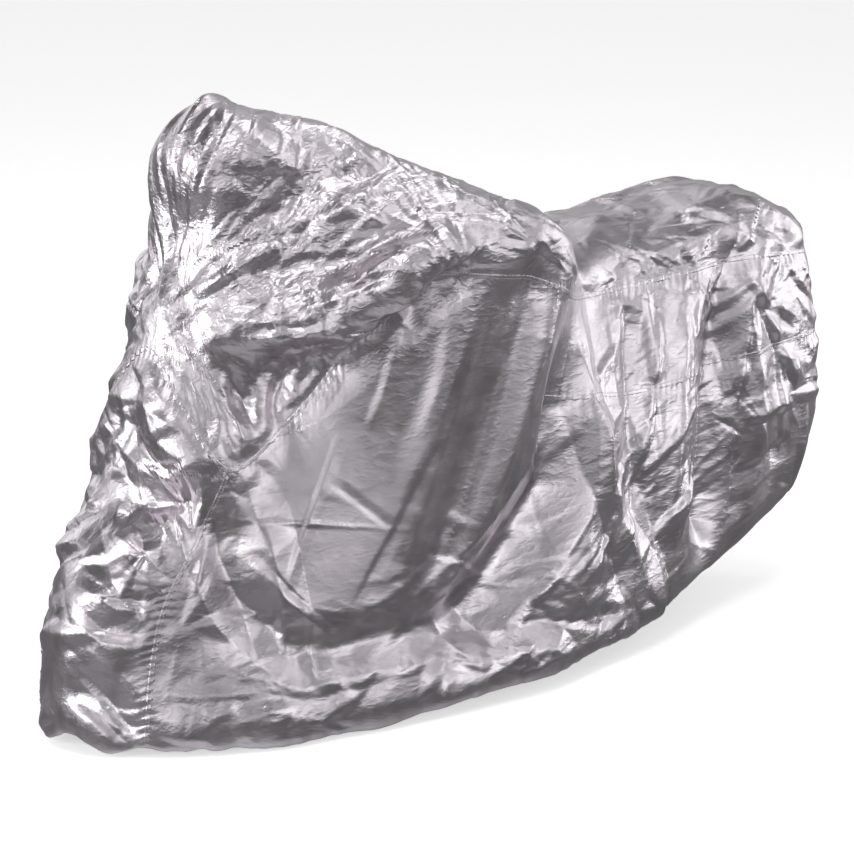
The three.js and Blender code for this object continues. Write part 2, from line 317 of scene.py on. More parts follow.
SECTIONS: tuple[Section, ...] = (
    Section("front centre", (-632, 0, 1196), (-694, 0, 1112), (-682, 0, 925), (-772, 0, 745),
            (-800, 0, 545), (-988, 0, 268), (-985, 0, 40)),
    Section("front quarter", (-614, 0, 1206), (-672, 74, 1108), (-692, 52, 850), (-775, 80, 672),
            (-806, 82, 500), (-952, 80, 265), (-965, 80, 14)),
    Section("front seam", (-582, 0, 1204), (-594, 106, 1125), (-690, 98, 800), (-730, 170, 531),
            (-793, 160, 412), (-884, 146, 266), (-918, 140, 24)),
    Section("wheel", (-490, 0, 1160), (-462, 110, 1146), (-592, 172, 795), (-580, 184, 600),
            (-645, 222, 413), (-705, 240, 214), (-752, 252, 26)),
    Section("fairing", (-345, 0, 1078), (-325, 190, 1080), (-505, 262, 808), (-480, 242, 717),
            (-505, 272, 455), (-536, 300, 228), (-518, 308, 26)),
    Section("before bar", (-200, 0, 1002), (-190, 274, 1014), (-370, 330, 902), (-358, 310, 850),
            (-336, 320, 530), (-345, 330, 238), (-342, 340, 40)),
    Section("bar end", (-60, 0, 928), (-60, 350, 952), (-85, 374, 905), (-120, 366, 840),
            (-150, 360, 549), (-157, 342, 245), (-136, 356, 50)),
    Section("behind bar", (70, 0, 880), (45, 325, 905), (40, 350, 850), (40, 345, 785),
            (15, 335, 520), (-10, 332, 245), (2, 350, 52)),
    Section("seat front", (250, 0, 832), (240, 130, 820), (235, 190, 782), (228, 205, 734),
            (140, 280, 500), (110, 318, 244), (116, 336, 52)),
    Section("seat", (460, 0, 836), (455, 122, 828), (453, 168, 795), (450, 178, 730),
            (340, 250, 470), (314, 285, 233), (304, 304, 56)),
    Section("seat rear", (665, 0, 850), (655, 112, 844), (650, 160, 806), (642, 172, 734),
            (550, 230, 477), (518, 250, 255), (515, 252, 97)),
    Section("tail corner", (850, 0, 866), (820, 102, 860), (800, 150, 815), (775, 170, 738),
            (735, 200, 488), (738, 200, 296), (740, 180, 128)),
    Section("tail quarter", (930, 0, 854), (935, 84, 836), (1018, 112, 785), (1045, 120, 715),
            (1075, 130, 500), (1072, 130, 355), (1030, 112, 225)),
    Section("tail centre", (965, 0, 846), (1002, 0, 822), (1070, 0, 775), (1112, 0, 710),
            (1102, 0, 500), (1096, 0, 380), (1068, 0, 265)),
)
LAST_SECTION = len(SECTIONS) - 1
LEVEL_COUNT = 8
SEAM_LEVEL = 3.0
SEAT_SEAM_LEVEL = 3.8
HEM_LEVEL = 6.0
FRONT_SEAM_SECTION = 2.0
SEAT_SECTION = 7.0

MAIN_FOLDS: tuple[Fold, ...] = (
    left("brow", 95, 26, 0.6, (0.5, 2.4), (2.7, 2.0), (3.9, 2.1), (4.7, 2.2), (5.1, 1.9)),
    left("under brow", 95, -34, 0.3, (1.8, 2.55), (3.0, 2.6), (4.0, 2.7)),
    left("arch", 60, 22, 0.6, (4.5, 2.8), (4.9, 2.1), (5.15, 1.9), (5.45, 2.7)),
    left("under arch", 60, -30, 0.2, (4.8, 3.2), (5.2, 3.05), (5.45, 2.95)),
    left("bar ridge", 85, 18, 0.2, (5.95, 1.25), (5.75, 2.45), (5.55, 3.15), (5.1, 3.9), (4.7, 4.7)),
    left("behind bar ridge", 70, -14, 0.2, (6.3, 2.15), (6.1, 3.2), (5.8, 3.8), (5.4, 4.4), (5.0, 4.9)),
    left("falling cloth", 85, 15, 0.2, (6.65, 3.1), (6.15, 4.0), (5.5, 4.8)),
    left("deep valley", 110, -54, 0.5, (7.2, 3.3), (7.15, 4.4), (5.95, 5.0), (5.25, 5.35)),
    left("bright fold", 150, 34, 0.5, (8.2, 3.6), (8.15, 4.4), (7.75, 5.0), (6.9, 5.45)),
    left("seat front crease", 65, 20, 1.0, (7.8, 3.05), (8.0, 3.85), (8.35, 4.5), (9.2, 5.6)),
    left("seat crease", 60, -18, 0.8, (8.75, 3.15), (9.0, 4.0), (9.0, 4.8)),
    left("seat rear swell", 85, 20, 0.6, (9.7, 3.2), (9.6, 4.2), (9.7, 5.3)),
    left("tail trough", 80, -42, 0.5, (10.6, 3.05), (10.5, 4.1), (10.45, 5.0), (10.3, 5.5)),
    left("tail corner ridge", 80, 22, 0.8, (11.6, 1.3), (11.05, 3.4), (11.2, 4.5), (11.1, 5.6)),
    left("wheel trough", 75, -34, 0.7, (1.95, 3.5), (2.45, 4.25), (2.75, 4.65), (3.4, 5.15)),
    left("wheel ridge", 60, 20, 0.9, (2.75, 3.85), (3.1, 4.65), (3.3, 5.2)),
    left("above hem", 65, -15, 0.6, (2.85, 5.0), (3.85, 5.2), (5.1, 5.2), (6.6, 5.3)),
    left("hem swell", 100, 18, 0.4, (2.0, 5.65), (3.4, 5.75), (5.3, 5.8), (8.3, 5.75)),
    left("front cross crease", 65, -22, 0.7, (0.0, 4.35), (0.85, 4.2), (1.8, 3.6)),
    left("front facet", 65, 20, 0.9, (0.3, 3.3), (0.85, 3.6), (1.7, 3.3)),
    left("front low wrinkle", 60, 17, 0.9, (0.0, 4.95), (0.85, 4.8), (1.3, 4.5)),
    left("front hem crease", 60, -16, 0.6, (0.0, 5.5), (1.0, 5.5), (1.85, 5.85)),
    left("screen fold", 70, 15, 0.9, (1.3, 0.5), (2.9, 1.4), (4.2, 1.55)),
    left("screen hollow", 65, -14, 0.6, (0.6, 1.6), (2.4, 1.5), (3.5, 1.25)),
    left("seat top hollow", 75, -16, 0.6, (10.2, 0.3), (9.4, 1.0), (8.5, 2.6)),
    left("seat top swell", 75, 13, 0.8, (9.2, 0.2), (8.5, 1.05), (8.0, 2.5)),
    right("far brow", 95, 22, 0.6, (0.9, 2.3), (2.6, 2.05), (3.8, 2.1), (4.9, 2.1)),
    right("far under brow", 95, -28, 0.3, (2.0, 2.6), (3.1, 2.6), (4.1, 2.75)),
    right("far bar ridge", 85, 24, 0.8, (6.0, 1.3), (5.8, 2.5), (5.4, 3.4), (4.9, 4.6)),
    right("far bar hollow", 70, -20, 0.4, (6.3, 2.3), (6.0, 3.3), (5.5, 4.4)),
    right("far valley", 110, -48, 0.5, (7.3, 3.3), (7.0, 4.3), (6.2, 5.0), (5.6, 5.3)),
    right("far swell", 100, 28, 0.6, (8.3, 3.5), (8.0, 4.4), (6.8, 5.25)),
    right("far crease", 65, -18, 0.8, (9.1, 3.2), (9.2, 4.2), (9.4, 5.2)),
    right("far seat swell", 85, 18, 0.6, (9.8, 3.2), (9.8, 4.3), (9.7, 5.3)),
    right("far tail trough", 80, -34, 0.5, (10.4, 3.1), (10.3, 4.2), (10.3, 5.4)),
    right("far tail ridge", 80, 20, 0.8, (11.5, 1.4), (11.2, 3.4), (11.3, 5.4)),
    right("far wheel trough", 75, -22, 0.5, (2.2, 3.7), (2.7, 4.5), (3.6, 5.1)),
    right("far wheel ridge", 70, 16, 0.8, (3.0, 3.8), (3.5, 4.6), (4.4, 5.2)),
    right("far hem swell", 80, 14, 0.4, (2.2, 5.55), (4.4, 5.65), (8.0, 5.6)),
)

# Creases of the side that the photograph shows, smaller than the main folds
CREASES: tuple[Fold, ...] = (
    crease("cowl long crease", 19, 9, WIDE_LEFT, (1.5, 0.7), (3.3, 1.4), (4.85, 1.45)),
    crease("cowl upper trough", 45, -7, WIDE_RIGHT, (1.05, 1.1), (2.9, 1.35), (4.1, 1.1), crisp=0.9),
    crease("cowl middle crease", 18, 9, WIDE_LEFT, (0.7, 1.9), (2.45, 1.55), (3.65, 1.45), (4.95, 1.75)),
    crease("cowl lower trough", 45, -8, WIDE_RIGHT, (1.55, 1.85), (3.15, 1.7), (4.3, 1.7), crisp=0.9),
    crease("strip edge", 11, 6, WIDE_LEFT, (1.35, 0.3), (0.7, 1.2), (0.3, 1.95), (0.7, 2.25)),
    crease("strip leading edge", 28, 5, WIDE_RIGHT, (0.15, 0.3), (0.15, 1.3), (0.05, 1.9)),
    crease("cowl ray a", 14, 7, WIDE_LEFT, (1.4, 1.95), (2.2, 1.7), (3.05, 1.6)),
    crease("cowl ray b", 39, -6, WIDE_RIGHT, (3.5, 1.6), (4.2, 1.5), (5.05, 1.75)),
    crease("cowl ray c", 15, 8, WIDE_LEFT, (3.3, 2.05), (3.85, 1.85), (4.9, 1.85)),
    crease("cowl ray d", 39, -7, WIDE_RIGHT, (1.25, 1.7), (2.25, 1.5), (2.95, 1.4)),
    crease("cowl ray e", 15, 7, WIDE_LEFT, (1.25, 1.7), (2.5, 1.85), (3.35, 2.0)),
    crease("bright band edge", 45, 9, WIDE_RIGHT, (1.05, 2.35), (2.7, 2.1), (3.75, 2.2), (4.5, 2.9)),
    crease("under brow a", 16, 12, WIDE_LEFT, (2.25, 2.25), (2.6, 2.55), (2.5, 2.9)),
    crease("under brow b", 39, -8, WIDE_RIGHT, (2.8, 2.2), (3.05, 2.6), (2.75, 2.9)),
    crease("under brow c", 16, 11, WIDE_LEFT, (3.6, 2.3), (3.6, 2.85), (3.15, 2.95)),
    crease("under brow d", 15, 10, 2.4, (1.9, 2.35), (2.2, 2.6), (2.25, 2.95)),
    crease("under brow e", 15, 11, 2.4, (3.15, 2.25), (3.3, 2.6), (2.95, 2.95)),
    crease("front a", 50, 9, WIDE_RIGHT, (0.1, 3.4), (1.0, 3.3), (1.55, 3.02)),
    crease("front b", 16, -8, WIDE_LEFT, (0.1, 3.85), (0.95, 3.85), (1.9, 3.15)),
    crease("front c", 42, 8, WIDE_RIGHT, (0.2, 4.15), (1.3, 4.3)),
    crease("front d", 16, -9, WIDE_LEFT, (0.0, 4.25), (0.8, 4.2), (1.8, 3.55)),
    crease("front e", 48, 10, WIDE_RIGHT, (0.0, 4.45), (1.1, 4.5), (1.85, 4.2)),
    crease("front f", 17, -8, WIDE_LEFT, (0.0, 4.75), (1.1, 4.85), (1.85, 4.8)),
    crease("front g", 50, 9, WIDE_RIGHT, (0.05, 4.95), (0.9, 5.15), (1.9, 5.2)),
    crease("front h", 16, -7, WIDE_LEFT, (0.2, 5.3), (0.9, 5.45), (1.85, 5.85)),
    crease("front i", 42, 7, WIDE_RIGHT, (0.05, 5.6), (0.75, 5.65), (1.4, 5.9)),
    crease("front j", 15, 8, WIDE_LEFT, (0.25, 3.05), (0.1, 3.65), (0.95, 3.85)),
    crease("upright press a", 10, 2.8, 2.2, (3.89, 3.49), (3.46, 3.95), (3.12, 4.63)),
    crease("upright press b", 10, -2.8, 2.2, (5.04, 3.98), (4.56, 4.4), (4.0, 4.95)),
    crease("level press", 9, 2.2, 0.5, (2.38, 3.74), (3.54, 4.08), (4.77, 4.46)),
    crease("slant press", 9, -2.2, 2.0, (3.67, 3.78), (4.53, 4.41)),
    crease("wheel edge", 50, 9, WIDE_RIGHT, (2.5, 4.1), (3.15, 4.65), (3.85, 5.15)),
    crease("wheel crease", 14, 7, WIDE_LEFT, (3.1, 4.6), (3.3, 5.2)),
    crease("band crease", 50, -8, WIDE_RIGHT, (5.0, 5.3), (6.8, 5.45), (9.1, 5.65)),
    crease("band front crease", 20, 8, WIDE_LEFT, (2.05, 5.3), (3.4, 5.45), (5.0, 5.45)),
    crease("arch fan a", 14, 4, WIDE_LEFT, (4.8, 3.25), (4.5, 3.5), (4.25, 3.65), crisp=0.9),
    crease("arch fan b", 39, 4, WIDE_RIGHT, (5.1, 3.25), (4.85, 3.6), (4.65, 3.8), crisp=0.9),
    crease("arch fan c", 14, 4, WIDE_LEFT, (5.3, 3.25), (5.15, 3.6), (4.85, 3.9), crisp=0.9),
    crease("fall a", 56, 5, WIDE_RIGHT, (5.55, 3.2), (5.0, 3.9), (4.15, 4.85), crisp=0.8),
    crease("fall b", 20, -4, WIDE_LEFT, (5.75, 2.95), (5.35, 3.9), (4.6, 4.95), crisp=0.8),
    crease("fall c", 56, 5, WIDE_RIGHT, (6.1, 3.15), (5.7, 4.0), (5.0, 5.15), crisp=0.8),
    crease("fall d", 20, -4, WIDE_LEFT, (6.75, 3.2), (6.15, 4.15), (5.25, 5.2), crisp=0.8),
    crease("rear slant a", 34, 7, WIDE_RIGHT, (8.2, 3.7), (8.7, 3.45)),
    crease("rear slant b", 13, 8, WIDE_LEFT, (8.1, 4.15), (9.05, 3.8)),
    crease("rear slant c", 39, 8, WIDE_RIGHT, (8.3, 4.6), (9.4, 4.05)),
    crease("rear slant d", 13, 7, WIDE_LEFT, (9.05, 4.5), (10.1, 4.0)),
    crease("rear slant e", 36, 7, WIDE_RIGHT, (9.2, 5.05), (10.25, 4.6)),
    crease("rear slant f", 13, 7, WIDE_LEFT, (8.3, 5.05), (9.0, 4.8)),
    crease("rear long a", 45, 8, WIDE_RIGHT, (9.3, 3.2), (9.25, 4.0), (8.65, 5.1)),
    crease("rear long b", 16, -8, WIDE_LEFT, (9.8, 3.2), (10.1, 4.2), (10.0, 5.3)),
    crease("rear low", 42, 8, WIDE_RIGHT, (7.3, 5.3), (8.3, 4.9), (8.5, 4.45)),
    crease("tail a", 19, 10, WIDE_LEFT, (10.85, 3.05), (11.35, 3.65), (11.6, 4.35)),
    crease("tail b", 48, -9, WIDE_RIGHT, (11.05, 3.4), (11.65, 3.7)),
    crease("tail c", 17, 9, WIDE_LEFT, (11.0, 4.4), (11.6, 4.5)),
    crease("tail d", 45, 9, WIDE_RIGHT, (11.5, 1.25), (10.85, 2.95)),
    crease("tail e", 16, -8, WIDE_LEFT, (11.0, 2.25), (11.75, 2.7)),
    crease("tail f", 45, -8, WIDE_RIGHT, (10.85, 5.0), (11.55, 5.0)),
    crease("tail g", 15, 7, WIDE_LEFT, (10.7, 5.55), (11.45, 5.55)),
    crease("seat top a", 45, 7, WIDE_RIGHT, (8.6, 0.4), (9.45, 0.65), (11.05, 1.4)),
    crease("seat top b", 15, -7, WIDE_LEFT, (8.35, 2.55), (9.35, 1.9), (10.8, 1.85)),
    crease("seat top c", 39, 6, WIDE_RIGHT, (9.85, 0.1), (8.65, 2.6)),
    crease("seat top d", 14, -6, WIDE_LEFT, (10.55, 0.3), (9.95, 2.8)),
)

# Large flat facets, scattered about a place on each side
FACETS: tuple[Rucks, ...] = (
    Rucks("cowl facets", (2.9, 1.5), 520, 90, (200, 520), (16, 30), 0.50,
          lean=(1.5, 3), stray=0.25, focus=(0.0, 2.9), lowest=2.7),
    Rucks("brow facets", (2.9, 2.45), 290, 70, (90, 220), (12, 22), 0.46,
          lean=(1.2, 2.5), along=(-0.2, 0.2, 1.0), stray=0.5, lowest=2.9),
    Rucks("bar facets", (4.7, 1.3), 360, 80, (140, 340), (14, 26), 0.36,
          lean=(1.5, 3), stray=0.45, focus=(5.3, 2.6), lowest=2.7),
    Rucks("front facets", (0.8, 4.2), 330, 64, (120, 300), (22, 42), 0.42,
          lean=(1.4, 3), along=(0.3, 1.0, 0.5), stray=1.2),
    Rucks("rear folds", (9.3, 4.2), 420, 26, (240, 480), (24, 44), 0.26,
          lean=(1.2, 2), along=(0.1, 0.0, 1.0), stray=0.25),
    Rucks("front band facets", (3.2, 5.4), 340, 46, (120, 320), (12, 24), 0.34,
          lean=(1.4, 3), along=(1.0, 0.0, 0.1), stray=0.5),
    Rucks("middle band facets", (5.6, 5.4), 340, 46, (120, 320), (12, 24), 0.34,
          lean=(1.4, 3), along=(1.0, 0.0, 0.1), stray=0.5),
    Rucks("rear band facets", (8.2, 5.2), 360, 30, (140, 340), (16, 30), 0.26,
          lean=(1.4, 3), along=(1.0, 0.0, 0.3), stray=0.5),
    Rucks("tail facets", (11.6, 3.6), 430, 110, (110, 300), (16, 30), 0.36,
          lean=(1.6, 3.5), stray=0.9, focus=(10.9, 2.9)),
    Rucks("seat facets", (9.5, 0.8), 400, 90, (120, 320), (16, 28), 0.30,
          lean=(1.5, 3), along=(1.0, 0.3, 0.0), stray=0.9),
)

# Small crisp rucks, scattered about a place on each side
RUCKS: tuple[Rucks, ...] = (
    Rucks("cowl rays", (2.9, 1.5), 520, 120, (120, 360), (8, 13), 0.46,
          lean=(1.2, 2.5), stray=0.25, focus=(0.0, 2.9), lowest=2.7),
    Rucks("cowl crossings", (2.9, 1.4), 520, 44, (60, 160), (7, 11), 0.38,
          lean=(1.2, 2.5), along=(0.2, 0.3, 1.0), stray=1.0, lowest=2.7),
    Rucks("bar rays", (4.7, 1.3), 400, 90, (90, 260), (8, 12), 0.40,
          lean=(1.2, 2.5), stray=0.45, focus=(5.3, 2.6), lowest=2.7),
    Rucks("brow scallops", (3.2, 2.3), 300, 90, (50, 150), (7, 14), 0.40,
          lean=(1.2, 3), along=(-0.2, 0.2, 1.0), stray=0.6, lowest=2.8),
    Rucks("front crumples", (0.8, 4.2), 380, 44, (60, 180), (7, 11), 0.36,
          lean=(1.2, 2.5), along=(0.3, 1.0, 0.5), stray=1.4),
    Rucks("side presses", (4.0, 4.2), 380, 12, (160, 400), (5, 8), 0.14,
          lean=(1.5, 4), along=(1.0, 0.0, 0.3), stray=1.5),
    Rucks("falling folds", (6.0, 4.0), 320, 50, (200, 420), (8, 16), 0.14,
          lean=(1.2, 3), stray=0.2, focus=(6.3, 1.6)),
    Rucks("rear slants", (9.3, 4.2), 420, 220, (60, 220), (6, 10), 0.22,
          lean=(1.2, 2.5), along=(1.0, 0.0, 0.44), stray=0.3),
    Rucks("tail crumples", (11.6, 3.6), 430, 90, (50, 130), (7, 10), 0.34,
          lean=(1.2, 2.5), along=(0.0, 0.6, 1.0), stray=1.5),
    Rucks("seat crumples", (9.5, 0.8), 400, 100, (60, 170), (7, 11), 0.32,
          lean=(1.2, 2.5), along=(1.0, 0.3, 0.0), stray=1.1),
    Rucks("front band", (3.5, 5.5), 330, 90, (60, 220), (6, 12), 0.32,
          lean=(1.2, 4), along=(1.0, 0.0, 0.1), stray=0.6),
    Rucks("middle band", (6.0, 5.5), 330, 90, (60, 220), (6, 12), 0.32,
          lean=(1.2, 4), along=(1.0, 0.0, 0.1), stray=0.6),
    Rucks("rear band", (8.5, 5.5), 330, 50, (60, 220), (6, 11), 0.26,
          lean=(1.2, 3), along=(1.0, 0.0, 0.3), stray=0.6),
    Rucks("dip folds", (6.7, 0.9), 300, 44, (140, 340), (12, 24), 0.30,
          lean=(1.4, 3), along=(1.0, 0.3, -0.3), stray=0.5, lowest=2.4),
    Rucks("dip crumples", (6.7, 0.9), 320, 60, (70, 200), (7, 11), 0.34,
          lean=(1.2, 2.5), along=(1.0, 0.3, -0.3), stray=0.8, lowest=2.4),
)

# Places where the cloth hangs straight, with few rucks
CALM: tuple[Zone, ...] = (Zone((3.9, 4.15), 360, 0.85), Zone((5.8, 3.9), 260, 0.6))

# How much the finest crinkles show, from 0, drawn flat, to 1, crushed
CRUSHED_EVERYWHERE = 0.4
CRUSHED: tuple[Zone, ...] = (
    Zone((2.8, 1.4), 480, 1.0), Zone((4.6, 1.2), 380, 0.95), Zone((0.8, 4.2), 420, 0.5),
    Zone((4.0, 4.2), 380, 0.15), Zone((6.0, 4.0), 290, 0.25), Zone((9.5, 0.8), 360, 0.6),
    Zone((9.2, 4.2), 360, 0.6), Zone((11.6, 3.6), 420, 0.5),
)


def centripetal(line: list[np.ndarray], part: np.ndarray) -> np.ndarray:
    """Finds points on a smooth line through four places, between the middle two.

    Args:
        line: The four places, each as one place a row.
        part: How far from the second to the third, shaped to multiply the places.

    Returns:
        The points on the line.
    """
    def gap(a: np.ndarray, b: np.ndarray, least: float | np.ndarray) -> np.ndarray:
        """Gives the knot distance of two places, or another where they are the same."""
        distance = np.sum((b - a) ** 2, axis=-1, keepdims=True) ** KNOT_POWER
        return np.where(distance < SAME_PLACE, least, distance)

    before, start, end, after = line
    middle = gap(start, end, 1.0)
    first = gap(before, start, middle)
    last = gap(end, after, middle)
    leave = ((start - before) / first - (end - before) / (first + middle) + (end - start) / middle) * middle
    arrive = ((end - start) / middle - (after - start) / (middle + last) + (after - end) / last) * middle
    bend = -3 * start + 3 * end - 2 * leave - arrive
    twist = 2 * start - 2 * end + leave + arrive
    return start + leave * part + bend * part ** 2 + twist * part ** 3


def softly(share: np.ndarray) -> np.ndarray:
    """Eases a share between 0 and 1 at both ends."""
    share = np.clip(share, 0.0, 1.0)
    return share * share * (3 - 2 * share)


def unit(vectors: np.ndarray) -> np.ndarray:
    """Scales vectors to length one."""
    return vectors / np.maximum(np.linalg.norm(vectors, axis=-1, keepdims=True), NO_LENGTH)


def nearest(values: np.ndarray, wanted: float) -> int:
    """Gives the number of the nearest of some values."""
    return int(np.argmin(np.abs(values - wanted)))


@dataclass
class CoverForm:
    """The smooth hanging form that the sections give, in millimetres above the ground."""

    sections: tuple[Section, ...] = SECTIONS
    hem_turn_in: float = 32.0
    hem_turn_up: float = 12.0
    hem_centre_front: float = -700.0
    hem_centre_rear: float = 800.0

    def turned_hem(self, hem: np.ndarray) -> np.ndarray:
        """Finds where the hem ends once it is turned under and drawn in.

        Args:
            hem: Hem places, one row each.

        Returns:
            The places of the turned edge.
        """
        inward = np.zeros_like(hem)
        inward[:, 0] = np.clip(hem[:, 0], self.hem_centre_front, self.hem_centre_rear) - hem[:, 0]
        inward[:, 1] = -hem[:, 1]
        turned = hem + unit(inward) * self.hem_turn_in
        turned[:, 2] = hem[:, 2] + self.hem_turn_up
        return turned

    def section_points(self, at: np.ndarray) -> np.ndarray:
        """Finds the eight places of each wanted section on the left half.

        Args:
            at: Section numbers, whole or between.

        Returns:
            Places of shape sections by levels by three.
        """
        rows = np.array([section.levels() for section in self.sections], float) * Side.RIGHT.mirror()
        table = np.concatenate([rows, self.turned_hem(rows[:, -1])[:, None]], axis=1)
        start = np.clip(np.floor(at).astype(int), 0, LAST_SECTION - 1)
        found = np.zeros((len(at), LEVEL_COUNT, 3))
        for level in range(LEVEL_COUNT):
            edge = table[:, level]
            ends = [edge[1] * Side.RIGHT.mirror(), edge[-2] * Side.RIGHT.mirror()]
            if level == 0:
                ends = [2 * edge[0] - edge[1], 2 * edge[-1] - edge[-2]]
            edge = np.concatenate([ends[:1], edge, ends[1:]])
            found[:, level] = centripetal([edge[start + k] for k in range(4)], (at - start)[:, None])
        return found

    def surface(self, at: np.ndarray, levels: np.ndarray) -> np.ndarray:
        """Finds a net of points on the left half.

        Args:
            at: Section numbers, one a column.
            levels: Level numbers, one a row.

        Returns:
            Points of shape columns by rows by three.
        """
        places = self.section_points(at)
        ends = [2 * places[:, :1] - places[:, 1:2], 2 * places[:, -1:] - places[:, -2:-1]]
        line = np.concatenate([ends[0], places, ends[1]], axis=1)
        net = np.zeros((len(at), len(levels), 3))
        for row, level in enumerate(levels):
            start = min(int(level), LEVEL_COUNT - 2)
            part = np.full((len(at), 1), level - start)
            net[:, row] = centripetal([line[:, start + k] for k in range(4)], part)
        return net

    def spot(self, spot: Spot, side: Side) -> np.ndarray:
        """Finds the place of a section and level number on one side."""
        return self.surface(np.array(spot[:1]), np.array(spot[1:]))[0, 0] * side.mirror()


@dataclass
class Net:
    """A net on one or both halves of the cover, columns by section number and rows by level number."""

    form: CoverForm
    sides: tuple[Side, ...]
    at: np.ndarray
    levels: np.ndarray
    smooth: np.ndarray = field(init=False)
    out: np.ndarray = field(init=False)
    points: np.ndarray = field(init=False)
    crush: np.ndarray = field(init=False)
    flat: np.ndarray = field(init=False)

    def __post_init__(self) -> None:
        """Lays the net on the smooth form and finds its outward directions."""
        half = self.form.surface(self.at, self.levels)
        self.smooth = np.stack([half * side.mirror() for side in self.sides])
        self.out = self.facing(self.smooth)

    def facing(self, points: np.ndarray) -> np.ndarray:
        """Gives the outward direction at each point of the net.

        Args:
            points: Places of the net.

        Returns:
            Directions of length one.
        """
        out = np.cross(np.gradient(points, axis=1), np.gradient(points, axis=2))
        for half, side in enumerate(self.sides):
            out[half] *= side.value
        for line in self.shared():
            if len(self.sides) == 2:
                out[line] = unit(out[line]).mean(axis=0)
            else:
                out[line][..., 1] = 0.0
        return unit(out)

    def shared(self) -> list[tuple]:
        """Lists the lines on which the two halves meet.

        Returns:
            For each line, what picks it out of the net.
        """
        lines = []
        if self.levels[0] == 0:
            lines.append(np.s_[:, :, 0])
        if self.at[0] == 0:
            lines.append(np.s_[:, 0])
        if self.at[-1] == LAST_SECTION:
            lines.append(np.s_[:, -1])
        return lines

    def numbers(self) -> np.ndarray:
        """Numbers the points, so that those that the halves share have one number.

        Returns:
            Numbers of shape halves by columns by rows.
        """
        numbers = np.arange(self.smooth[..., 0].size).reshape(self.smooth.shape[:3])
        if len(self.sides) == 2:
            for line in self.shared():
                numbers[line] = numbers[line][0]
        return numbers

    def spread(self, guide: "Net", values: np.ndarray) -> np.ndarray:
        """Reads the values of one half of a guide net at each column and row of this net."""
        columns = np.array([np.interp(self.at, guide.at, row) for row in values.T])
        return np.array([np.interp(self.levels, guide.levels, column) for column in columns.T])


